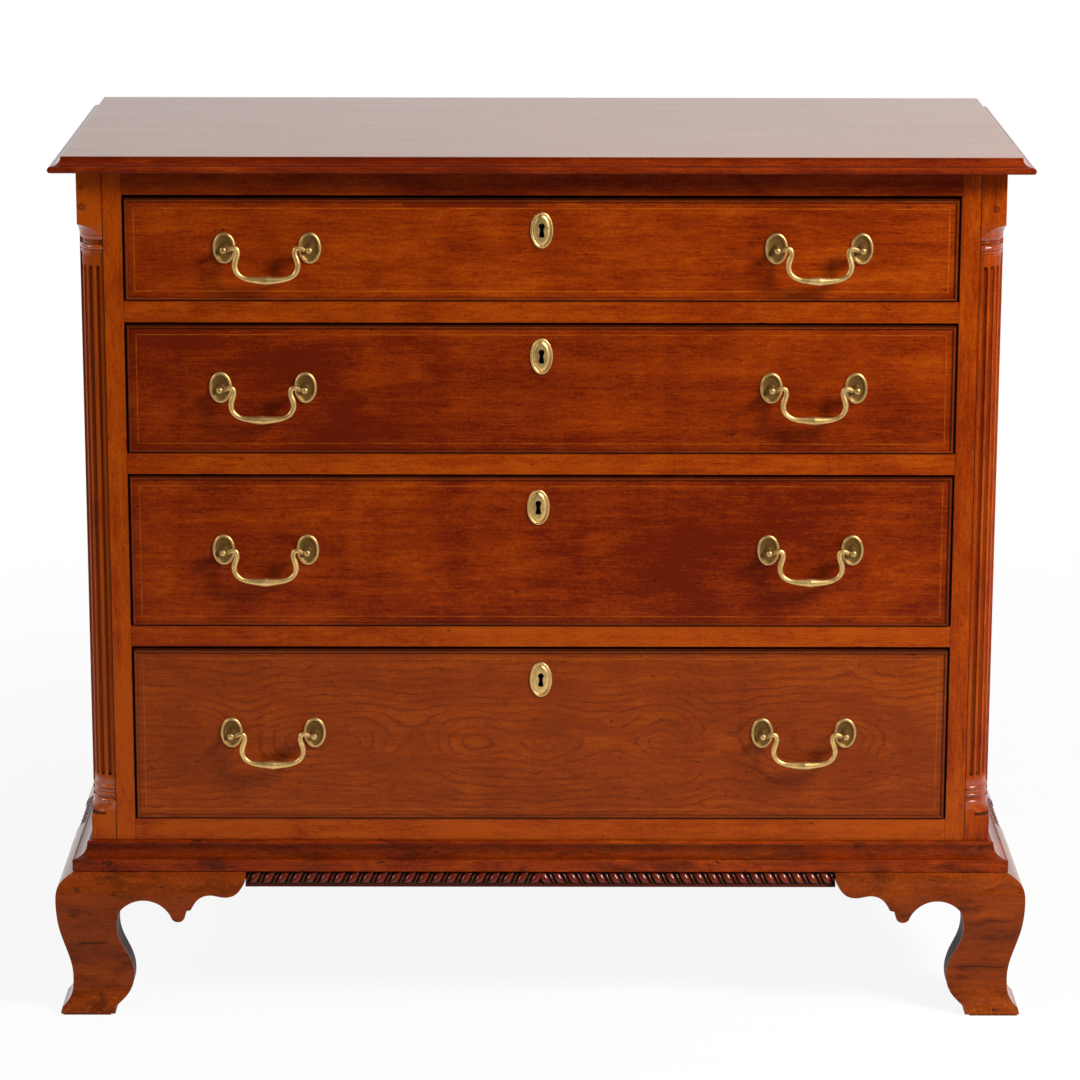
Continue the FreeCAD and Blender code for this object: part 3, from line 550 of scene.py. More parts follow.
def base_moulding_grids():
    """Base moulding: ledge, cove and fascia carried round three sides, with cut ends at the back.

    The ledge's nose is a quarter circle and the cove a quarter ellipse; painted shade lies in the cove, and
    the ledge is darker against the case.
    """
    turn = np.linspace(0, math.pi / 2, 15)
    cove_foot, cove_top = BASE_OUT - COVE_FILLET, BASE_TOP - LEDGE_DROP
    cove_run, nose_radius = cove_foot - LEDGE_OUT, LEDGE_DROP / 2
    nose_outs = LEDGE_OUT - nose_radius * (1 - np.sin(turn))
    nose = np.stack([nose_outs, BASE_TOP - nose_radius * (1 - np.cos(turn))], 1)
    cove = np.stack([cove_foot - cove_run * np.cos(turn), cove_top - COVE_DROP * np.sin(turn)], 1)
    fascia_top = cove_top - COVE_DROP
    fascia = [(BASE_OUT - EASED, fascia_top), (BASE_OUT, fascia_top - EASED), (BASE_OUT, FOOT_HEIGHT + EASED),
              (BASE_OUT - EASED, FOOT_HEIGHT), (0.0, FOOT_HEIGHT)]
    section = np.concatenate([[(0.0, BASE_TOP)], nose, cove, fascia]) * np.array([-1.0, 1.0])
    # Painted shade in the cove, most at its top and foot; the ledge is darker against the case
    even, upper, lower = BASE_COVE_SHADE
    cove_darkening = even + upper * np.cos(turn) ** 4 + lower * np.sin(turn) ** 6
    grime = np.concatenate([[LEDGE_DARKENING], np.zeros(len(nose)), cove_darkening, np.zeros(len(fascia))])
    run = mitred_run(section, HALF_WIDTH, 0.0, CASE_DEPTH)
    inner = np.array([HALF_WIDTH, 0.0, 0.0])
    ends = [np.stack([run[k], run[k] * [0.0, 1.0, 1.0] + side * inner]) for k, side in ((0, -1), (-1, 1))]
    return [in_frame(run, np.outer(DARKENED_STATIONS, grime))] + [in_frame(grid) for grid in ends]


def foot_section():
    """Heights and overhangs of a foot from the floor up: pad, toe, arc to the crease, spline to the top."""
    size = np.array([FOOT_BULGE, FOOT_HEIGHT])
    body = smooth_path(FOOT_OGEE * size, 160)
    flare = arc_path(np.array([FOOT_OGEE[-1], FOOT_FLARE, FOOT_TOE]) * size, 40)
    toe = FOOT_TOE[0] * FOOT_BULGE
    pad = toe - FOOT_PAD_INSET
    lip = [(toe, FOOT_PAD_HEIGHT + EASED), (toe - 0.4 * EASED, FOOT_PAD_HEIGHT),
           (pad, FOOT_PAD_HEIGHT - FOOT_PAD_STEP), (pad, 0.0)]
    outs, heights = np.concatenate([body, flare[1:], lip])[::-1].T
    return heights, outs


def scroll_course():
    """Lower edge of a bracket in two stretches: from the floor up the leg, then arch, pendant, step and wave.

    Leg and wave are splines, arch and pendant are arcs.
    """
    size = np.array([BRACKET_LENGTH, FOOT_HEIGHT])
    leg = even_steps(smooth_path(SCROLL_LEG * size, SPLINE_STEPS), 110)
    pad, toe = SCROLL_PAD * BRACKET_LENGTH, leg[0, 0]
    lip = FOOT_PAD_HEIGHT + np.array([-FOOT_PAD_STEP, 0.0, EASED, SCROLL_TOE])
    sole = np.stack([[pad, pad, toe - EASED, toe, toe], [0.0, *lip]], 1)
    arch = arc_path(SCROLL_ARCH * size, 36)
    pendant = arc_path(SCROLL_PENDANT * size, 16)
    wave = even_steps(smooth_path(SCROLL_WAVE * size, SPLINE_STEPS), 48)
    return np.concatenate([sole, leg]), np.concatenate([arch, pendant[1:], [SCROLL_STEP[1] * size], wave])


def bracket_grids(mitred):
    """One bracket, with its corner on the mitre or cut square.

    The face is drawn flat as three grids: the leg from the scroll to the corner, the block over the leg, and
    upright lines from the rest of the scroll to the top. Each point is then pushed out by the ogee at its own
    height. The back is the same without the push, and strips join the two. Columns are inward, depth and
    height. Painted shade covers the back and the sawn edges, and lies in the crease over the toe.
    """
    heights, outs = foot_section()
    leg, rest = scroll_course()
    across, rise = eased(25), eased(21)

    def out(z):
        return -np.interp(z, heights, outs)

    def inner(z):
        return np.full_like(z, FOOT_INNER)

    def skin(depth):
        def corner(z):
            return np.stack([depth(z) if mitred else np.zeros_like(z), z], -1)

        z = leg[-1, 1] + (FOOT_HEIGHT - leg[-1, 1]) * rise
        seam = np.stack([np.full_like(z, leg[-1, 0]), z], 1)
        crown = np.stack([rest[:, 0], np.full(len(rest), FOOT_HEIGHT)], 1)
        shank = between(leg, corner(leg[:, 1]), across)
        flat = shank, between(seam, corner(z), across), between(rest, crown, rise)
        return [np.stack([g[..., 0], depth(g[..., 1]), g[..., 1]], -1) for g in flat]

    def rims(shank, block, wing):
        lines = [shank[:, 0], wing[:, 0], wing[-1], shank[0], block[-1], wing[:, -1]]
        return lines if mitred else lines + [shank[:, -1], block[:, -1]]

    # Painted shade along the crease over the toe
    def shade_in_crease(grid):
        crease = FOOT_OGEE[-1][1] * FOOT_HEIGHT
        return CREASE_SHADE * np.exp(-((grid[..., 2] - crease) / CREASE_HALF) ** 2)

    front, back = skin(out), skin(inner)
    edges = [between(face, rear, (0, SAWN_STEP, 1)) for face, rear in zip(rims(*front), rims(*back))]
    # Painted shade on the back and on the sawn edges behind their front row
    soil_and_shade = [np.stack([shade_in_crease(e[:, 0]), *np.full((2, len(e)), SAWN_SHADE)], 1) for e in edges]
    return [(g, shade_in_crease(g)) for g in front] + [(g, SAWN_SHADE) for g in back] + list(zip(edges, soil_and_shade))


def front_foot_grids():
    """Left front foot: the face bracket, and the same across the mitre with inward and depth exchanged."""
    corner = np.array([-HALF_WIDTH, 0.0, 0.0])
    grids = bracket_grids(True)
    face = [in_frame(g + corner, s) for g, s in grids]
    return face + [in_frame(g[..., [1, 0, 2]] + corner, s) for g, s in grids]


def rear_foot_grids():
    """Left rear foot: a side bracket cut square at the back, and a plain brace with a sawn curve."""
    size = np.array([BRACE_LENGTH, FOOT_HEIGHT])
    course = np.concatenate([arc_path(BRACE_CURVE * size, 30), [size]])
    flat = between(course * [0.0, 1.0], course, np.linspace(0, 1, 5))

    def on_side(grid):
        return np.stack([grid[..., 1] - HALF_WIDTH, CASE_DEPTH - grid[..., 0], grid[..., 2]], -1)

    def brace_face(depth):
        x = flat[..., 0] + FOOT_INNER - HALF_WIDTH
        return np.stack([x, np.full_like(x, depth), flat[..., 1]], -1)

    near, far = brace_face(CASE_DEPTH - BRACE_THICKNESS), brace_face(CASE_DEPTH)
    sides = [np.stack([near[:, k], far[:, k]]) for k in (0, -1)]
    ends = [np.stack([near[k], far[k]]) for k in (0, -1)]
    bracket = [in_frame(on_side(g), s) for g, s in bracket_grids(False)]
    return bracket + [in_frame(g, BRACE_DARKENING) for g in [near, far] + sides + ends]


def column_radius(z):
    """Radius of the turned quarter column: shaft and necks, with beads, fillets and shoulders laid over them.

    A bead is half an ellipse, a shoulder a quarter ellipse, and a lip falls off with the square of the level.
    """
    up, down = z - BASE_TOP, CASE_TOP - z

    def bead(level, middle, half, foot, crown):
        return foot + (crown - foot) * np.sqrt(np.clip(1 - ((level - middle) / half) ** 2, 0, 1))

    def shoulder(level, narrow, wide):
        share = np.clip((narrow - level) / (narrow - wide), 0, 1)
        return np.where(share > 0, COLUMN_SIDE + SHOULDER * (1 - np.sqrt(1 - share ** 2)), 0.0)

    def fillet(level, first, last, radius):
        return np.where((level > first) & (level < last), radius, 0.0)

    r = np.where((down < CAP_NECK) | (up < FOOT_NECK), NECK_RADIUS, SHAFT_RADIUS)
    for level, beads, band in ((down, CAP_BEADS, CAP_FILLET), (up, FOOT_BEADS, FOOT_FILLET)):
        for shape in [bead(level, *size) for size in beads] + [fillet(level, *band)]:
            r = np.maximum(r, shape)
    for level, start, length in ((down, CAP_SHOULDER[0], CAP_LIP), (up, FOOT_SHOULDER[0], FOOT_LIP)):
        lip = COLUMN_SIDE - LIP_SWEEP * np.clip((level - start) / length, 0, 1) ** 2
        r = np.where((level >= start) & (level < start + length), lip, r)
    r = np.maximum(np.maximum(r, shoulder(down, *CAP_SHOULDER)), shoulder(up, *FOOT_SHOULDER))
    return np.where((down < CAP_SHOULDER[1]) | (up < FOOT_SHOULDER[1]), 2 * COLUMN_SIDE, r)


def column_grids():
    """Left quarter column in polar form: radius against angle and height.

    Flutes are balls carried up the shaft and taken off the radius, with round ends. The end blocks are
    square, so the radius never passes the post's faces, whose corner is eased by a high power mean. Painted
    shade lies in the flutes and their ends, in the quirks beside the beads, and in the undercut over the
    lower block.
    """
    angle = np.linspace(0, math.pi / 2, COLUMN_TURNS)
    foot_low, foot_high = (BASE_TOP + level for level in FOOT_TURNING)
    cap_high, cap_low = (CASE_TOP - level for level in CAP_TURNING)
    turnings = [np.arange(foot_low, foot_high, TURNING_STEP), np.arange(cap_low, cap_high, TURNING_STEP)]
    shaft = np.linspace(foot_high, cap_low, SHAFT_ROWS)
    z = np.unique(np.concatenate([[FOOT_HEIGHT, CASE_TOP], shaft] + turnings))
    zz, aa = np.meshgrid(z, angle, indexing="ij")
    r = column_radius(zz)
    on_shaft = np.abs(r - SHAFT_RADIUS) < 0.01
    flute_top, flute_foot = CASE_TOP - FLUTE_DROP - FLUTE_RADIUS, BASE_TOP + FLUTE_RISE + FLUTE_RADIUS
    past_end = np.maximum(np.maximum(zz - flute_top, flute_foot - zz), 0.0)
    across = SHAFT_RADIUS * np.min(np.abs(aa[..., None] - np.radians(FLUTE_ANGLES)), axis=-1)
    flute = np.sqrt(np.clip(FLUTE_RADIUS ** 2 - across ** 2 - past_end ** 2, 0, None)) * on_shaft
    from_end = np.minimum(np.abs(zz - flute_top), np.abs(zz - flute_foot))
    # Painted shade: flutes darken with depth and have dark eyes at their ends; quirks and the undercut darken
    # too
    eyes = np.clip(FLUTE_EYE - np.hypot(across, from_end), 0, 1) * (flute > 0)
    hollows = np.maximum(FLUTE_SHADE * np.clip(1.5 * flute / FLUTE_RADIUS - 0.5, 0, 1), eyes)
    quirks = QUIRK_SHADE * np.clip((QUIRK_RADIUS - r) / QUIRK_DEPTH, 0, 1) * ~on_shaft
    over_block = 1 - np.abs(zz - BASE_TOP - FOOT_SHOULDER[1] - UNDERCUT) / UNDERCUT
    undercut = np.clip(over_block, 0, 1) * (np.abs(aa - math.pi / 4) < UNDERCUT_TURN)
    grime = np.maximum(hollows, np.maximum(quirks, undercut))
    corner = (np.cos(aa) ** BLOCK_POWER + np.sin(aa) ** BLOCK_POWER) ** (1 / BLOCK_POWER)
    r = np.minimum(r - flute, COLUMN_SIDE / corner)
    axis_x = COLUMN_SIDE - HALF_WIDTH
    skin = np.stack([axis_x - r * np.sin(aa), COLUMN_SIDE - r * np.cos(aa), zz], -1)
    axis = np.stack([np.full(len(z), axis_x), np.full(len(z), COLUMN_SIDE), z], 1)[:, None]
    grid = np.concatenate([axis, skin, axis], 1)
    caps = [between(grid[k], np.repeat(axis[k], grid.shape[1], 0), (0, 1)) for k in (0, -1)]
    return [in_frame(grid, np.pad(grime, ((0, 0), (1, 1))))] + [in_frame(cap) for cap in caps]


def gadroon_run(first, last, heights, outs):
    """Run of leaning lobes over a plain fillet, as grids of along, out and height with their grime.

    Across a pitch stand a broad lobe and a thin one, each half an ellipse. Their feet move sideways with
    height, and they die away at the top and into the fillet. The lobes' crowns keep to an overhang that is
    given at each height.
    """
    low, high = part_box("gadroon_strip")
    z0, z1 = low[2] / MM + GADROON_LIFT, high[2] / MM
    stations = np.linspace(first, last, int((last - first) * GADROON_STEPS))
    xx, vv = np.meshgrid(stations, eased(25), indexing="ij")
    at = (xx - first - GADROON_LEAN * vv) / GADROON_PITCH
    share = at - np.floor(at)

    def lobe(low_share, high_share):
        middle, half = (low_share + high_share) / 2, (high_share - low_share) / 2
        return np.sqrt(np.clip(1 - ((share - middle) / half) ** 2, 0, 1))

    up = np.clip((vv - GADROON_FILLET) / (1 - GADROON_FILLET), 0, 1)
    fade = np.clip(1 - np.abs(2 * up - 1) ** GADROON_EGG, 0, 1) ** 0.5
    swell = np.maximum(lobe(*GADROON_BROAD), GADROON_THIN_RISE * lobe(*GADROON_THIN)) * fade
    swell = np.where(vv < GADROON_FILLET, GADROON_FILLET_RISE, swell)
    z = z0 + vv * (z1 - z0)
    face = np.stack([xx, np.interp(z, heights, outs) - GADROON_RELIEF * (1 - swell), z], -1)
    rear = face * [1.0, 0.0, 1.0] + [0.0, GADROON_BACK, 0.0]
    ends = [np.stack([face[k], rear[k]]) for k in (0, -1)]
    edges = [np.stack([face[:, k], rear[:, k]]) for k in (0, -1)]
    # Painted shade between the lobes and on the fillet below them
    deep, fall = GADROON_GROOVE_SHADE
    soil_and_shade = np.clip(deep - fall * swell, 0, 1)
    return [(face, soil_and_shade)] + [(g, HIDDEN_DARKENING) for g in [rear] + ends + edges]


def gadroon_grids():
    """Gadroon strip under the front, leaning out downwards: one run to the middle, and its mirror image."""
    low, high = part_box("gadroon_strip")
    run = gadroon_run(-high[0] / MM, 0.0, (low[2] / MM, high[2] / MM), GADROON_OUTS)
    left = [in_frame(g * [1.0, -1.0, 1.0], s) for g, s in run]
    return left + mirror_x(left)


def gadroon_side_grids():
    """Short run between the left brackets, turned so that along is depth, on the line of the feet's ogee."""
    run = gadroon_run(BRACKET_LENGTH, CASE_DEPTH - BRACKET_LENGTH, *foot_section())
    return [in_frame(np.stack([-HALF_WIDTH - g[..., 1], g[..., 0], g[..., 2]], -1), s) for g, s in run]


# Shapes of the brass


def ring_angles(count):
    """Even angles once round, with the first repeated at the end."""
    return np.linspace(0, 2 * math.pi, count + 1)


def oval_plate(size, section, count):
    """Plate of nested ovals: each section pair is an inset from the rim and a height towards the viewer."""
    turn = ring_angles(count)
    inset, rise = np.asarray(section, float).T
    x = (size[0] / 2 - inset)[:, None] * np.sin(turn)
    z = (size[1] / 2 - inset)[:, None] * np.cos(turn)
    return np.stack([x, np.broadcast_to(-rise[:, None], x.shape), z], -1)


def turned(section, count):
    """Solid of revolution about the depth axis: each section pair is a radius and a depth."""
    turn = ring_angles(count)
    radius, depth = np.asarray(section, float).T
    x = radius[:, None] * np.sin(turn)
    return np.stack([x, np.broadcast_to(depth[:, None], x.shape), radius[:, None] * np.cos(turn)], -1)


def mount_grids(standoff):
    """Oval backplate with a dish, turned post with a round head on the bail's axis, and square nut.

    The head is a ball whose profile is squared a little by a power, without the rows that the neck hides.
    """
    eye = turned([(SHANK_RADIUS, -ROSETTE_SECTION[-1][1])], PLATE_SIDES)
    plate = np.concatenate([oval_plate(ROSETTE, ROSETTE_SECTION, PLATE_SIDES), eye])
    turn = np.linspace(0, math.pi, 15)[HEAD_HIDDEN:]
    head = np.stack([HEAD_RADIUS * np.sin(turn) ** HEAD_POWER, HEAD_RADIUS * np.cos(turn) - standoff], 1)
    stem = [(0.0, SHANK_END), (SHANK_RADIUS, SHANK_END), (SHANK_RADIUS, -SHANK_FRONT), *POST_STEM]
    post = turned(np.concatenate([stem, head]), POST_SIDES)
    soil_and_shade = np.concatenate([np.full(len(stem), POST_GRIME), np.linspace(*HEAD_GRIME, len(head))])
    corner = NUT_SIDE / math.sqrt(2)
    square = np.linspace(0, 2 * math.pi, 5) + math.pi / 4
    reach = np.array([0.0, corner, corner, 0.0])[:, None]
    depth = FRONT_THICKNESS + NUT_THICKNESS * np.array([0.0, 0.0, 1.0, 1.0])[:, None]
    nut = np.stack([reach * np.sin(square), depth + 0 * square, reach * np.cos(square)], -1)
    return [(plate, np.array(ROSETTE_GRIME)[:, None]), (post, soil_and_shade[:, None]), (nut, HIDDEN_DARKENING)]


def bail_grid(wire, grip):
    """Swan neck bail with its grime: circles along a smooth upright course, wider at neck and grip."""
    half = PULL_BORING / 2
    left = [(x - half, 0.0) for x in PIN_COURSE] + [((u - 1) * half, v * BAIL_DROP) for u, v in BAIL_NECK]
    right = [(-x, z) for x, z in reversed(left)]
    course = even_steps(smooth_path(left + [(0.0, -BAIL_DROP)] + right, BAIL_SPLINE_STEPS), BAIL_STEPS)
    along = np.gradient(course, axis=0)
    along /= np.linalg.norm(along, axis=1)[:, None]
    near = np.abs(course[:, 0])
    swell = np.clip(1 - near / BAIL_GRIP_HALF, 0, 1) * (course[:, 1] < -0.5 * BAIL_DROP)
    neck = np.exp(-((course[:, 1] / BAIL_DROP + BAIL_NECK_LEVEL) / BAIL_NECK_LENGTH) ** 2)
    radius = wire / 2 + (grip - wire) / 2 * swell ** BAIL_GRIP_POWER + BAIL_NECK_SWELL / 2 * neck
    pin = np.clip((near - half + PIN_LENGTH) / PIN_STEP, 0, 1)
    radius = radius * (1 - pin) + PIN_RADIUS * pin
    turn = ring_angles(BAIL_SIDES)[:, None]
    side = np.stack([-along[:, 1], np.zeros(len(along)), along[:, 0]], 1)
    centre = np.stack([course[:, 0], np.zeros(len(course)), course[:, 1]], 1)
    ring = side[:, None] * np.cos(turn) + np.array([0.0, 1.0, 0.0]) * np.sin(turn)
    tube = centre[:, None] + ring * radius[:, None, None]
    ends = [np.repeat(centre[k][None, None], tube.shape[1], 1) for k in (0, -1)]
    soil_and_shade = np.clip((near - half + BAIL_GRIME_REACH) / BAIL_GRIME_RUN, 0, BAIL_GRIME)
    return np.concatenate([ends[0], tube, ends[1]]), np.pad(soil_and_shade, 1, mode="edge")[:, None]


def keyhole_rim(turn):
    """Keyhole as a distance from its middle at each angle: where a ray leaves a round head and a slot."""
    top, foot = KEY_HEIGHT / 2 - KEY_RADIUS, -KEY_HEIGHT / 2
    arc = np.linspace(-0.75 * math.pi, 0.75 * math.pi, 25)
    head = np.stack([KEY_RADIUS * np.sin(arc), top + KEY_RADIUS * np.cos(arc)], 1)
    slot = [(KEY_WAIST, -KEY_WAIST_DROP), (KEY_FLARE, foot + KEY_SPLAY[1]), (KEY_FLARE - KEY_SPLAY[0], foot)]
    left = [(-x, z) for x, z in reversed(slot)]
    outline = np.concatenate([left, head, slot, left[:1]])
    ray = np.stack([np.sin(turn), np.cos(turn)], 1)
    start, step = outline[:-1], np.diff(outline, axis=0)
    cross = ray[:, None, 0] * step[None, :, 1] - ray[:, None, 1] * step[None, :, 0]
    cross = np.where(np.abs(cross) < 1e-9, 1e-9, cross)
    reach = (start[None, :, 0] * step[None, :, 1] - start[None, :, 1] * step[None, :, 0]) / cross
    share = (start[None, :, 0] * ray[:, None, 1] - start[None, :, 1] * ray[:, None, 0]) / cross
    inside = (share > -1e-6) & (share < 1 + 1e-6) & (reach > 0)
    return np.where(inside, reach, 0).max(1)


def escutcheon_grids():
    """Keyhole plate: nested ovals for rim, groove and raised middle, then rings that become the keyhole."""
    turn = ring_angles(KEY_PLATE_SIDES)
    plate = oval_plate(ESCUTCHEON, ESCUTCHEON_SECTION, KEY_PLATE_SIDES)
    rim = keyhole_rim(turn)
    level = np.full_like(rim, -ESCUTCHEON_SECTION[-1][1])
    hole = np.stack([rim * np.sin(turn), level, rim * np.cos(turn)], 1)
    crown = between(plate[-1], hole, (0, 0.5, 0.9, 1)).transpose(1, 0, 2)
    wall = np.stack([hole, hole * [1.0, 0.0, 1.0]])
    pin = turned(PLATE_PIN_SECTION, PLATE_PIN_SIDES)
    pins = [(pin + np.array([0.0, 0.0, z]), 0.3) for z in (-PLATE_PIN_REACH, PLATE_PIN_REACH)]
    hollows = np.array(ESCUTCHEON_GRIME)[:, None]
    # The keyhole's wall turns to painted shade at its far end
    return [(plate, hollows), (crown, 0.0), (wall, np.array([[0.0], [1.0]]))] + pins


# Materials


class Field:
    """A shader socket in sums and products: each operator adds a Math node."""

    def __init__(self, tree, socket):
        self.tree = tree
        self.socket = socket

    def node(self, kind, settings, inputs, output=0):
        """Adds any node: its settings first, then its sockets' values or links."""
        made = self.tree.nodes.new(kind)
        for name, value in settings.items():
            setattr(made, name, value)
        for name, value in inputs.items():
            if isinstance(value, Field):
                self.tree.links.new(value.socket, made.inputs[name])
            elif made.inputs[name].type == "RGBA":
                made.inputs[name].default_value = (*value, 1.0)
            else:
                made.inputs[name].default_value = value
        return Field(self.tree, made.outputs[output])

    def math(self, operation, *values):
        return self.node("ShaderNodeMath", {"operation": operation}, dict(enumerate(values)))

    def __add__(self, other):
        return self.math("ADD", self, other)

    def __sub__(self, other):
        return self.math("SUBTRACT", self, other)

    def __rsub__(self, other):
        return self.math("SUBTRACT", other, self)

    def __mul__(self, other):
        return self.math("MULTIPLY", self, other)

    def __abs__(self):
        return self.math("ABSOLUTE", self)

    __radd__ = __add__
    __rmul__ = __mul__

    def root(self):
        return self.math("SQRT", self)

    def fraction(self):
        return self.math("FRACT", self)

    def larger(self, other):
        return self.math("MAXIMUM", self, other)

    def smaller(self, other):
        return self.math("MINIMUM", self, other)

    def ramp(self, low, high):
        """0 below low, 1 above high, smooth between them."""
        inputs = {"Value": self, "From Min": low, "From Max": high}
        return self.node("ShaderNodeMapRange", {"interpolation_type": "SMOOTHSTEP"}, inputs)

    def within(self, near, far):
        """1 up to near millimetres, 0 past far."""
        return 1 - self.ramp(near * MM, far * MM)

    def parts(self):
        """X, Y and Z of a vector."""
        split = self.node("ShaderNodeSeparateXYZ", {}, {"Vector": self}).socket.node
        return [Field(self.tree, split.outputs[k]) for k in range(3)]

    def noise(self, scale, shift=(0.0, 0.0, 0.0), detail=3.0, roughness=0.55, distortion=0.0):
        """Cloudy noise over a place that is scaled along each axis and moved, 0 to 1."""
        drawn = self.node("ShaderNodeMapping", {}, {"Vector": self, "Scale": scale, "Location": shift})
        inputs = {"Vector": drawn, "Scale": 1.0, "Detail": detail, "Roughness": roughness,
                  "Distortion": distortion}
        return self.node("ShaderNodeTexNoise", {}, inputs)

    def colours(self, stops):
        """Colour from a value, by a ramp."""
        made = self.node("ShaderNodeValToRGB", {}, {"Fac": self})
        ramp = made.socket.node.color_ramp.elements
        while len(ramp) < len(stops):
            ramp.new(1.0)
        for element, (place, colour) in zip(ramp, stops):
            element.position = place
            element.color = (*colour, 1.0)
        return made

    def mix(self, other, share):
        """This colour turned towards another by a share."""
        return self.node("ShaderNodeMix", {"data_type": "RGBA"}, {0: share, 6: self, 7: other}, 2)


def new_finish(name):
    """Empty node material, with its Object coordinates and its shader."""
    material = bpy.data.materials.new(name)
    material.use_nodes = True
    tree = material.node_tree
    coordinates = tree.nodes.new("ShaderNodeTexCoord")
    return material, Field(tree, coordinates.outputs["Object"]), tree.nodes["Principled BSDF"]


def given(place, name):
    """A value that a piece's mesh carries, such as its soiling and painted shade."""
    return place.node("ShaderNodeAttribute", {"attribute_name": name}, {}, "Fac")


def feed(shader, base, rough, height, strength, distance):
    """Links colour and roughness to the shader, and height through a Bump node."""
    tree = shader.id_data
    bump = height.node("ShaderNodeBump", {}, {"Height": height, "Strength": strength, "Distance": distance})
    for name, field in (("Base Color", base), ("Roughness", rough), ("Normal", bump)):
        tree.links.new(field.socket, shader.inputs[name])


def grain_of(place, grain, seed, heart):
    """Grain of a board along x or z: its tone, mottling, fibre and growth lines.

    Growth lines are where the distance from a heart that sways in and out of the board passes whole steps, so
    they form long eyes along the heart and straight lines away from it.
    """

    def drawn(long_scale, cross_scale, shift, **settings):
        scale = (long_scale, cross_scale, cross_scale)
        moved = (1.7 * seed + shift, 0.9 * seed - shift, 2.3 * seed + shift)
        return place.noise(scale if grain == "x" else scale[::-1], moved, **settings)

    clouds = drawn(2.2, 6.0, 1.0, detail=2.0, roughness=0.5, distortion=0.5)
    mottle = drawn(13.0, 36.0, 2.0, detail=4.0, roughness=0.6, distortion=0.5)
    streaks = drawn(7.0, 170.0, 3.0, detail=4.0, roughness=0.65, distortion=0.2)
    fibre = drawn(55.0, 480.0, 6.0, detail=3.0, roughness=0.7)
    speckle = drawn(300.0, 420.0, 7.0, detail=2.0, roughness=0.6)
    pores = drawn(85.0, 620.0, 8.0, detail=2.0).ramp(0.6, 0.74)
    sway = drawn(6.0, 22.0, 9.0, detail=4.0, roughness=0.6, distortion=0.6)
    curl = drawn(26.0, 3.0, 4.0, detail=2.0, roughness=0.45, distortion=0.3)
    lean = drawn(5.5, 0.6, 5.0, detail=1.0)
    x, _, z = place.parts()
    off, tilt = (z if grain == "x" else x) - heart, (lean - 0.5) * 0.2
    distance = (off * off + tilt * tilt).root() + sway * 0.03
    lines = (distance * 125.0).fraction().ramp(0.66, 0.98) * mottle.ramp(0.35, 0.6)
    broad = clouds * 0.24 + mottle * 0.32 + curl * 0.1
    fine = streaks * 0.18 + fibre * 0.24 + speckle * 0.18 - pores * 0.1
    return broad + fine, mottle, fibre, lines


def wood_finish(name, settings, grain, seed, heart=0.4, lines_share=0.03, tone=0.0, brown=0.0, light_slope=0.0,
                coat=0.07, ends=0.0, sheen=None, painters=()):
    """Stained wood under satin varnish; painters lay lines and marks over the grain.

    The tone rises by light_slope with each metre to the right, a painted gradient of light across the chest.
    The varnish is coat everywhere, more by ends where the surface faces sideways and is clean, and at least
    what sheen gives for a place.
    """
    material, place, shader = new_finish(name)
    ground, mottle, fibre, lines = grain_of(place, grain, seed, heart)
    value = (ground - 0.61) * 1.6 - (lines - 0.17) * lines_share + place.parts()[0] * light_slope + (tone + 0.5)
    stops = [(0.3, settings.dark), (0.5, settings.middle), (0.7, settings.light)]
    colour = value.colours([(at, tuple(shade)) for at, shade in stops])
    if brown:
        colour = colour.mix(tuple(settings.brown), brown)
    fleck_scale = (70.0, 170.0, 170.0) if grain == "x" else (170.0, 170.0, 70.0)
    marks = place.noise(fleck_scale, (seed, 0.0, 1.0), detail=2.0, roughness=0.6).ramp(0.7, 0.76)
    colour = colour.mix(tuple(settings.grime), marks * 0.6)
    # Soiling and painted shade that the mesh carries darken the colour towards the grime colour
    dirt_and_shade = (given(place, "grime") + (mottle - 0.5) * 0.6).ramp(0.15, 0.95) * 0.93
    colour = colour.mix(tuple(settings.grime), dirt_and_shade)
    height = fibre * 0.5 - lines * lines_share - marks * 0.8
    for paint in painters:
        colour, height = paint(place, colour, height)
    feed(shader, colour, mottle * 0.12 + fibre * 0.06 + dirt_and_shade * 0.3 + 0.3, height, 0.14, 0.0005)
    shader.inputs["Specular IOR Level"].default_value = 0.05
    shader.inputs["Coat Roughness"].default_value = 0.18
    shader.inputs["Coat Weight"].default_value = coat
    gloss = given(place, "sideways").ramp(0.02, 0.1) * (1 - dirt_and_shade) * ends + coat if ends else coat
    if sheen:
        gloss = sheen(place).larger(gloss)
    if ends or sheen:
        shader.id_data.links.new(gloss.socket, shader.inputs["Coat Weight"])
    return material


def bare_wood_finish(name, settings, grain, seed):
    """Unfinished wood of the inside: the same grain in paler tones."""
    material, place, shader = new_finish(name)
    ground, mottle, fibre, lines = grain_of(place, grain, seed, 0.5)
    value = ground - lines * 0.15
    pale = tuple(min(1.0, c * 1.3) for c in settings.bare)
    deep = tuple(c * 0.55 for c in settings.bare)
    colour = value.colours([(0.35, deep), (0.56, tuple(settings.bare)), (0.75, pale)])
    feed(shader, colour, mottle * 0.1 + 0.62, fibre, 0.25, 0.0006)
    shader.inputs["Specular IOR Level"].default_value = 0.3
    return material


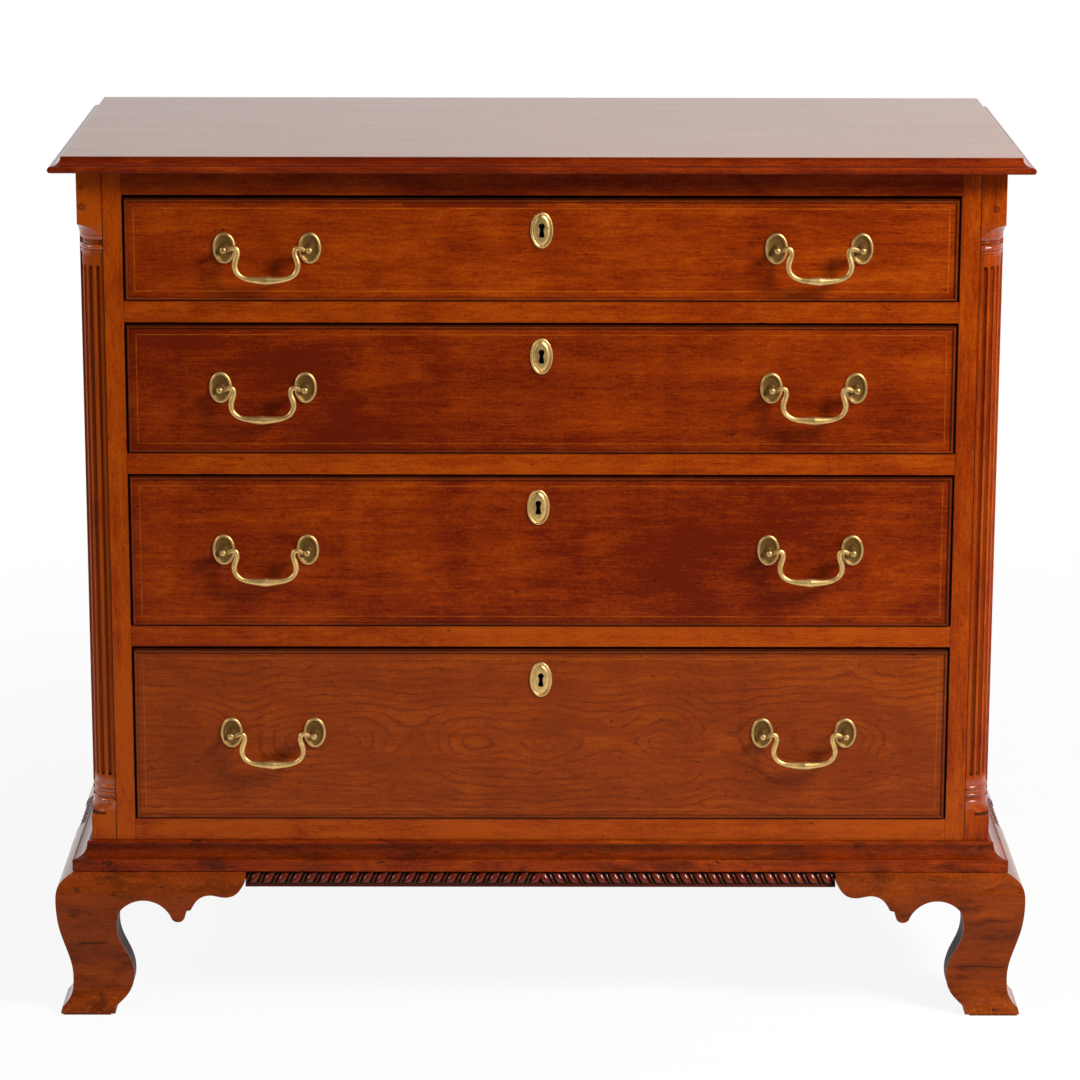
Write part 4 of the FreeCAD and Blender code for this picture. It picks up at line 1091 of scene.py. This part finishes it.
def brass_finish(name, settings, roughness):
    """Old brass: bright on the worn skin, tarnished in clouds, brown in hollows, with fine rubbing marks."""
    material, place, shader = new_finish(name)
    cloud = place.noise((70.0, 70.0, 70.0), detail=4.0, roughness=0.6)
    fine = place.noise((450.0, 450.0, 450.0), detail=3.0, roughness=0.6)
    shine = tuple(min(1.0, c * 1.15) for c in settings.bright)
    stops = [(0.36, tuple(settings.dull)), (0.55, tuple(settings.bright)), (0.8, shine)]
    colour = (cloud * 0.6 + fine * 0.4).colours(stops)
    # The mesh's value holds patina in the hollows and painted shade deep in the keyhole
    dirt_and_shade = (given(place, "grime") + (cloud - 0.5) * 0.7).ramp(0.1, 0.95) * 0.9
    colour = colour.mix(tuple(settings.hollow), dirt_and_shade)
    feed(shader, colour, cloud * 0.2 + dirt_and_shade * 0.22 + roughness, fine, 0.14, 0.0003)
    shader.inputs["Metallic"].default_value = 1.0
    return material


def steel_finish(name):
    """Dull lock steel with a brown bloom."""
    material, place, shader = new_finish(name)
    cloud = place.noise((90.0, 90.0, 90.0), detail=4.0, roughness=0.6)
    colour = cloud.colours([(0.35, (0.05, 0.03, 0.018)), (0.62, (0.17, 0.155, 0.14))])
    feed(shader, colour, cloud * 0.3 + 0.35, cloud, 0.2, 0.0004)
    shader.inputs["Metallic"].default_value = 1.0
    return material


def dress(material, *nodes):
    """Gives CAD nodes a finish."""
    for node in nodes:
        mesh = frame["nodes"][node].data
        mesh.materials.clear()
        mesh.materials.append(material)


def string_line(drawer, strength, settings):
    """Painter for a drawer front: a string a little way in, a rubbed bead round the edges with painted shade
    beside it and at the rim, and painted shade in the keyhole.
    """
    low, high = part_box(drawer + "_front")
    middle_x, middle_z = (low[0] + high[0]) / 2, (low[2] + high[2]) / 2
    half_x, half_z = (high[0] - low[0]) / 2, (high[2] - low[2]) / 2
    key_x, _, key_z = (np.array(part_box(drawer + "_escutcheon")).sum(0) / 2).tolist()

    def paint(place, colour, height):
        x, y, z = place.parts()
        face = (y - low[1]).within(*FACE_DEPTH)
        edge = (half_x - abs(x - middle_x)).smaller(half_z - abs(z - middle_z))
        line = abs(edge - STRING_INSET * MM).within(*STRING_HALF)
        # Painted shade: a dark line in the groove beside the bead, and a dark rim next to the gap
        bead = edge.within(*BEAD_EDGE) * face
        shaded_quirk = abs(edge - QUIRK_INSET * MM).within(*QUIRK_HALF) * face
        rim = edge.within(*RIM_EDGE) * face
        worn = place.noise((30.0, 30.0, 60.0), roughness=0.6).ramp(0.35, 0.62)
        colour = colour.mix(BEAD_SHADE, bead * (worn * 0.4 + 0.2))
        colour = colour.mix(tuple(settings.grime), (shaded_quirk * 0.55).larger(rim * 0.9))
        colour = colour.mix(tuple(settings.string), line * (worn * 0.55 + 0.2) * strength)
        # Painted shade: the wood behind the keyhole is painted black
        off_x, off_z = x - key_x, z - key_z
        hole = (off_x * off_x + off_z * off_z).root().within(*KEY_SHADOW)
        colour = colour.mix((0.0, 0.0, 0.0), hole)
        return colour, height - line * 0.3 - shaded_quirk * 0.5

    return paint


def seams(lines_at, settings):
    """Painter for uprights: dark joints at given distances from the middle."""

    def paint(place, colour, height):
        x = abs(place.parts()[0])
        for at in lines_at:
            joint = abs(x - at * MM).within(*SEAM_HALF)
            colour = colour.mix(tuple(settings.grime), joint * 0.8)
            height = height - joint
        return colour, height

    return paint


def spots(places, settings):
    """Painter for plugs and nail holes, each by x, z and radius: a dark ring about a half dark middle."""

    def paint(place, colour, height):
        x, _, z = place.parts()
        for at_x, at_z, radius in places:
            scale = 1 / (radius * MM)
            off_x, off_z = (x - at_x * MM) * scale, (z - at_z * MM) * scale
            far = (off_x * off_x + off_z * off_z).root()
            mark = (1 - abs(far - 0.85).ramp(0.1, 0.35)).larger((1 - far.ramp(0.5, 0.9)) * 0.5)
            colour = colour.mix(tuple(settings.grime), mark * 0.7)
            height = height - mark * 0.6
        return colour, height

    return paint


def cracks(lines, shade, axis):
    """Painter for cracks along x: each runs from one x to another at a place on axis 1 (y) or 2 (z)."""

    def paint(place, colour, height):
        x, level_at = place.parts()[0], place.parts()[axis]
        wander = (place.noise((14.0, 2.0, 2.0), detail=4.0, roughness=0.6) - 0.5) * (CRACK_WANDER * MM)
        before, after = CRACK_START
        for first, last, level in lines:
            along = x.ramp((first - before) * MM, (first + after) * MM) * x.within(last - CRACK_TAIL, last)
            near = abs(level_at - level * MM + wander)
            line = (near.within(*CRACK_HALF) * 0.9).larger(near.within(*CRACK_STAIN_HALF) * 0.35) * along
            colour = colour.mix(shade, line)
            height = height - line
        return colour, height

    return paint


def nicks(amount, settings):
    """Painter for knocks and dents: short dark dashes along the grain."""

    def paint(place, colour, height):
        cloud = place.noise((34.0, 90.0, 210.0), (5.0, 1.0, 2.0), detail=3.0, roughness=0.6)
        dashes = cloud.ramp(0.72 - amount, 0.77 - amount)
        return colour.mix(tuple(settings.grime), dashes * 0.85), height - dashes

    return paint


def wear(settings):
    """Painter for feet: small pale scuffs near the floor and on the top of the bulge."""

    def paint(place, colour, height):
        z = place.parts()[2]
        scuff = place.noise((280.0, 280.0, 280.0), detail=4.0, roughness=0.7).ramp(0.52, 0.68)
        low, high = SCUFF_BULGE
        where = z.within(*SCUFF_FLOOR).larger(z.ramp(low * MM, high * MM) * 0.6)
        return colour.mix(tuple(settings.string), scuff * where * 0.4), height

    return paint


def stains(settings):
    """Painter for soft dark blotches of old polish, drawn out along the grain."""

    def paint(place, colour, height):
        cloud = place.noise((22.0, 40.0, 62.0), (4.0, 7.0, 1.0), detail=4.0, roughness=0.65, distortion=0.6)
        return colour.mix(tuple(settings.grime), cloud.ramp(0.44, 0.72) * 0.6), height

    return paint


def patch(x_range, z_range, settings):
    """Painter for a let-in strip of darker wood."""

    def paint(place, colour, height):
        x, _, z = place.parts()
        inside = 1
        for axis, (low, high) in ((x, x_range), (z, z_range)):
            past_low = axis.ramp((low - REPAIR_BLUR) * MM, (low + REPAIR_BLUR) * MM)
            inside = past_low * axis.within(high - REPAIR_BLUR, high + REPAIR_BLUR) * inside
        return colour.mix(tuple(settings.dark), inside * 0.75), height

    return paint


# Operators


class CHEST_OT_case(bpy.types.Operator):
    """Finish the case: panels, stiles, rails and the bare wood inside"""

    bl_idname = "chest.case"
    bl_label = "Case"

    def execute(self, context):
        wood = context.scene.chest_wood
        joints = seams((HALF_WIDTH - COLUMN_SIDE, OPENING_HALF), wood)
        panel = wood_finish("side_wood", wood, "z", 2.0, heart=0.02, lines_share=0.1, coat=0.4)
        dress(panel, "left_side_panel", "right_side_panel")
        stile = wood_finish("stile_wood", wood, "z", 4.0, tone=0.1, light_slope=-0.12, painters=[joints])
        dress(stile, "front_stiles")
        for seed, (rail, tone, light_slope) in enumerate(RAIL_LOOKS):
            dress(wood_finish(rail + "_wood", wood, "x", 30.0 + seed, tone=tone, light_slope=light_slope), rail)
        inner = bare_wood_finish("bare_case_wood", wood, "x", 1.0)
        dress(inner, "back_boards", "case_bottom", "drawer_runners", "drawer_guides", "top_kickers",
              "foot_glue_blocks")
        return {"FINISHED"}


class CHEST_OT_top(bpy.types.Operator):
    """Make the top board with its moulded edge"""

    bl_idname = "chest.top"
    bl_label = "Top board"

    def execute(self, context):
        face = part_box("top_board")[1][2]

        def on_face(place):
            none, full = FADED_DEPTH
            return place.parts()[2].ramp(face - none * MM, face - full * MM)

        def polished(place):
            streaks = place.noise((3.0, 60.0, 1.0), detail=4.0, roughness=0.6)
            return on_face(place) * (place.parts()[0] * 0.14 + streaks * 0.3 + 0.58)

        def faded(place, colour, height):
            return colour.mix(FADED, on_face(place) * 0.6), height

        wood = context.scene.chest_wood
        marks = [faded, cracks(TOP_CRACKS, TOP_CRACK_SHADE, 1), nicks(0.0, wood)]
        finish = wood_finish("top_wood", wood, "x", 8.0, lines_share=0.1, tone=-0.16, light_slope=0.1,
                             ends=END_GLOSS, sheen=polished, painters=marks)
        make_piece("moulded_top", top_board_grids(), finish, ["top_board"], crease=18.0)
        return {"FINISHED"}


class CHEST_OT_columns(bpy.types.Operator):
    """Make the two fluted quarter columns"""

    bl_idname = "chest.columns"
    bl_label = "Corner columns"

    def execute(self, context):
        wood = context.scene.chest_wood
        marks = [seams((HALF_WIDTH - COLUMN_SIDE,), wood), spots(PLUGS, wood)]

        def turned_parts(place):
            z = place.parts()[2]
            foot, cap = abs(z - (BASE_TOP + FOOT_MIDDLE) * MM), abs(z - (CASE_TOP - CAP_MIDDLE) * MM)
            return foot.smaller(cap).within(*POLISH_HALF)

        finish = wood_finish("column_wood", wood, "z", 10.0, tone=0.09, light_slope=-0.12, sheen=turned_parts,
                             painters=marks)
        grids = column_grids()
        make_piece("fluted_column_left", grids, finish, ["left_corner_column"], crease=40.0)
        make_piece("fluted_column_right", mirror_x(grids), finish, ["right_corner_column"], crease=40.0)
        return {"FINISHED"}


class CHEST_OT_base(bpy.types.Operator):
    """Make the base moulding and the gadroon strip under it"""

    bl_idname = "chest.base"
    bl_label = "Base moulding"

    def execute(self, context):
        wood = context.scene.chest_wood
        marks = [stains(wood), nicks(0.05, wood), spots(NAILS, wood)]
        finish = wood_finish("moulding_wood", wood, "x", 12.0, tone=-0.06, light_slope=0.1, ends=END_GLOSS,
                             painters=marks)
        make_piece("base_run", base_moulding_grids(), finish, ["base_moulding"], crease=32.0)
        carved = wood_finish("carved_wood", wood, "x", 14.0, tone=-0.25, coat=0.6)
        make_piece("gadroon_run", gadroon_grids(), carved, ["gadroon_strip"], crease=50.0)
        side = gadroon_side_grids()
        make_piece("gadroon_side_left", side, carved, [], crease=50.0)
        make_piece("gadroon_side_right", mirror_x(side), carved, [], crease=50.0)
        return {"FINISHED"}


class CHEST_OT_feet(bpy.types.Operator):
    """Make the ogee bracket feet"""

    bl_idname = "chest.feet"
    bl_label = "Feet"

    def execute(self, context):
        wood = context.scene.chest_wood
        split = cracks(FOOT_CRACKS, tuple(wood.grime), 2)
        marks = [stains(wood), nicks(0.02, wood), spots(NAILS, wood), split, wear(wood)]
        finish = wood_finish("foot_wood", wood, "x", 17.0, tone=-0.07, brown=0.42, light_slope=0.06,
                             ends=END_GLOSS, painters=marks)
        front = front_foot_grids()
        make_piece("ogee_foot_left", front, finish, ["front_left_foot"], crease=38.0)
        make_piece("ogee_foot_right", mirror_x(front), finish, ["front_right_foot"], crease=38.0)
        rear = rear_foot_grids()
        make_piece("ogee_feet_rear", rear + mirror_x(rear), finish, ["rear_feet"], crease=38.0)
        return {"FINISHED"}


class CHEST_OT_drawers(bpy.types.Operator):
    """Finish the drawers: strung fronts and bare boxes"""

    bl_idname = "chest.drawers"
    bl_label = "Drawers"

    def execute(self, context):
        wood = context.scene.chest_wood
        inner = bare_wood_finish("bare_drawer_wood", wood, "x", 5.0)
        for number, (drawer, (*look, strength)) in enumerate(zip(DRAWERS, DRAWER_LOOKS)):
            painters = [string_line(drawer, strength, wood)]
            if number == 0:
                painters.append(patch(*REPAIR, wood))
            finish = wood_finish(drawer + "_wood", wood, "x", 20.0 + 3.0 * number, *look, painters=painters)
            dress(finish, drawer + "_front")
            dress(inner, drawer + "_sides", drawer + "_back", drawer + "_bottom")
        return {"FINISHED"}


class CHEST_OT_pulls(bpy.types.Operator):
    """Make the bails with their posts and oval backplates"""

    bl_idname = "chest.pulls"
    bl_label = "Pulls"

    def execute(self, context):
        brass = context.scene.chest_brass
        bright = brass_finish("bail_brass", brass, roughness=0.36)
        plate = brass_finish("plate_brass", brass, roughness=0.32)
        joints = frame["record"]["behaviour"]["joints"]
        hinges = {joint["child"]: np.array(joint["pos_m"]) / MM for joint in joints if "pos_m" in joint}
        tube, soil_and_shade = bail_grid(brass.wire / MM, brass.grip / MM)
        for drawer in DRAWERS:
            mounts = []
            for side in ("left", "right"):
                bail = f"{drawer}_{side}_bail"
                hinge = hinges[bail] - np.array([0.0, FRONT_Y / MM, 0.0])
                make_piece(f"{drawer}_{side}_swan_bail", [in_frame(tube + hinge, soil_and_shade)], bright, [bail],
                           crease=60.0, body=bail)
                for reach in (-PULL_BORING / 2, PULL_BORING / 2):
                    spot = np.array([hinge[0] + reach, 0.0, hinge[2]])
                    mounts += [in_frame(g + spot, s) for g, s in mount_grids(-hinge[1])]
            make_piece(drawer + "_rosettes", mounts, plate, [drawer + "_pull_mounts"],
                       crease=45.0, body=drawer)
        return {"FINISHED"}


class CHEST_OT_locks(bpy.types.Operator):
    """Make the keyhole plates and finish the locks"""

    bl_idname = "chest.locks"
    bl_label = "Locks"

    def execute(self, context):
        finish = brass_finish("keyhole_brass", context.scene.chest_brass, roughness=0.34)
        steel = steel_finish("lock_steel")
        for drawer in DRAWERS:
            node = drawer + "_escutcheon"
            low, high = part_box(node)
            middle = np.array([(low[0] + high[0]) / 2 / MM, 0.0, (low[2] + high[2]) / 2 / MM])
            grids = [in_frame(grid + middle, s) for grid, s in escutcheon_grids()]
            make_piece(drawer + "_keyhole_plate", grids, finish, [node],
                       crease=50.0, body=drawer)
            dress(steel, drawer + "_lock", drawer + "_lock_bolt")
        return {"FINISHED"}


def seen_rays(tree):
    """Three values that are 1 for rays from the camera, from a reflection, and through glass."""
    rays = tree.nodes.new("ShaderNodeLightPath").outputs
    return [Field(tree, rays[name]) for name in ("Is Camera Ray", "Is Glossy Ray", "Is Transmission Ray")]


class CHEST_OT_stage(bpy.types.Operator):
    """Set the floor, the room, the lamps and the camera"""

    bl_idname = "chest.stage"
    bl_label = "Stage"

    def execute(self, context):
        studio = context.scene.chest_studio
        scene = context.scene
        scene.view_settings.view_transform = "Standard"
        self.floor(scene)
        self.room(scene, studio.sky, studio.dark_side)
        self.lamp(scene, "key_lamp", *KEY_LAMP, studio.key)
        self.lamp(scene, "fill_lamp", *FILL_LAMP, studio.fill)
        self.camera(scene)
        return {"FINISHED"}

    def floor(self, scene):
        mesh = bpy.data.meshes.new("studio_floor")
        sides = ((-FLOOR_HALF, FLOOR_FRONT), (FLOOR_HALF, FLOOR_FRONT), (FLOOR_HALF, FLOOR_HALF),
                 (-FLOOR_HALF, FLOOR_HALF))
        mesh.from_pydata([(x, y, FLOOR_DROP) for x, y in sides], [], [(0, 1, 2, 3)])
        material = bpy.data.materials.new("pale_floor")
        material.use_nodes = True
        tree = material.node_tree
        shader = tree.nodes["Principled BSDF"]
        shader.inputs["Base Color"].default_value = (0.92, 0.92, 0.92, 1.0)
        shader.inputs["Roughness"].default_value = 0.9
        shader.inputs["Specular IOR Level"].default_value = 0.0
        camera, glossy, through = seen_rays(tree)
        x, y, _ = Field(tree, tree.nodes.new("ShaderNodeTexCoord").outputs["Object"]).parts()
        white = tree.nodes.new("ShaderNodeEmission")
        share = (x * x + y * y).root().ramp(*FLOOR_WHITE) * FLOOR_SHADE + (1 - FLOOR_SHADE)
        blend = camera.node("ShaderNodeMixShader", {}, {0: camera.larger(glossy).larger(through) * share})
        mix = blend.socket.node
        tree.links.new(shader.outputs[0], mix.inputs[1])
        tree.links.new(white.outputs[0], mix.inputs[2])
        tree.links.new(mix.outputs[0], tree.nodes["Material Output"].inputs["Surface"])
        mesh.materials.append(material)
        floor = bpy.data.objects.new("studio_floor", mesh)
        scene.collection.objects.link(floor)

    def room(self, scene, strength, dark_side):
        world = bpy.data.worlds.new("studio_room")
        world.use_nodes = True
        scene.world = world
        tree = world.node_tree
        background = tree.nodes["Background"]
        background.inputs["Color"].default_value = (1.0, 1.0, 1.0, 1.0)
        camera, glossy, through = seen_rays(tree)
        direction = Field(tree, tree.nodes.new("ShaderNodeTexCoord").outputs["Generated"])
        mirrored = glossy * (direction.parts()[1].ramp(*BACKDROP_EDGE) * (1 - dark_side) + dark_side)
        seen = camera.larger(mirrored).larger(through)
        tree.links.new(seen.larger((1 - glossy) * strength).socket, background.inputs["Strength"])

    def lamp(self, scene, name, place, aim, size, power):
        data = bpy.data.lights.new(name, "AREA")
        data.shape = "RECTANGLE"
        data.size, data.size_y = size
        data.energy = power
        lamp = bpy.data.objects.new(name, data)
        scene.collection.objects.link(lamp)
        away = np.array(place) - np.array(aim)
        away /= np.linalg.norm(away)
        across = np.cross((0.0, 0.0, 1.0), away)
        across /= np.linalg.norm(across)
        axes = np.stack([across, np.cross(away, across), away], 1)
        lamp.matrix_world = Matrix.Translation(place) @ Matrix(axes.tolist()).to_4x4()

    def camera(self, scene):
        data = bpy.data.cameras.new("photo_camera")
        data.sensor_width = CAMERA_SENSOR
        data.lens = FOCAL_PIXELS / PHOTO_PIXELS * CAMERA_SENSOR
        data.clip_end = 100.0
        camera = bpy.data.objects.new("photo_camera", data)
        scene.collection.objects.link(camera)
        level = np.array([math.cos(CAMERA_YAW), math.sin(CAMERA_YAW), 0.0])
        ahead = np.array([-math.sin(CAMERA_YAW), math.cos(CAMERA_YAW), 0.0])
        forward = ahead * math.cos(CAMERA_PITCH) + np.array([0.0, 0.0, -math.sin(CAMERA_PITCH)])
        upward = ahead * math.sin(CAMERA_PITCH) + np.array([0.0, 0.0, math.cos(CAMERA_PITCH)])
        right = level * math.cos(CAMERA_ROLL) + upward * math.sin(CAMERA_ROLL)
        up = upward * math.cos(CAMERA_ROLL) - level * math.sin(CAMERA_ROLL)
        axes = np.stack([right, up, -forward], 1)
        place = Matrix.Translation(CAMERA_PLACE) @ Matrix.Translation((0.0, FRONT_Y, 0.0))
        camera.matrix_world = place @ Matrix(axes.tolist()).to_4x4()
        scene.camera = camera


OPERATORS = (CHEST_OT_case, CHEST_OT_top, CHEST_OT_columns, CHEST_OT_base, CHEST_OT_feet, CHEST_OT_drawers,
             CHEST_OT_pulls, CHEST_OT_locks, CHEST_OT_stage)
SETTINGS = (("chest_wood", ChestWoodSettings), ("chest_brass", ChestBrassSettings),
            ("chest_studio", ChestStudioSettings))


class CHEST_PT_panel(bpy.types.Panel):
    """Sidebar list of the chest's settings and pieces"""

    bl_idname = "CHEST_PT_panel"
    bl_label = "Chest of drawers"
    bl_space_type = "VIEW_3D"
    bl_region_type = "UI"
    bl_category = "Chest"

    def draw(self, context):
        for name, group in SETTINGS:
            settings = getattr(context.scene, name)
            for key in group.__annotations__:
                self.layout.prop(settings, key)
        for operator in OPERATORS:
            self.layout.operator(operator.bl_idname)


CLASSES = tuple(group for _, group in SETTINGS) + OPERATORS + (CHEST_PT_panel,)


def register():
    """Registers the classes and puts the settings on the scene."""
    for cls in CLASSES:
        bpy.utils.register_class(cls)
    for name, group in SETTINGS:
        setattr(bpy.types.Scene, name, bpy.props.PointerProperty(type=group))


def unregister():
    """Takes the settings and classes away again."""
    for name, _ in SETTINGS:
        delattr(bpy.types.Scene, name)
    for cls in reversed(CLASSES):
        bpy.utils.unregister_class(cls)


def main():
    """Dresses the chest piece by piece."""
    register()
    for operator in OPERATORS:
        group, name = operator.bl_idname.split(".")
        getattr(getattr(bpy.ops, group), name)()


if __name__ == "__main__":
    main()
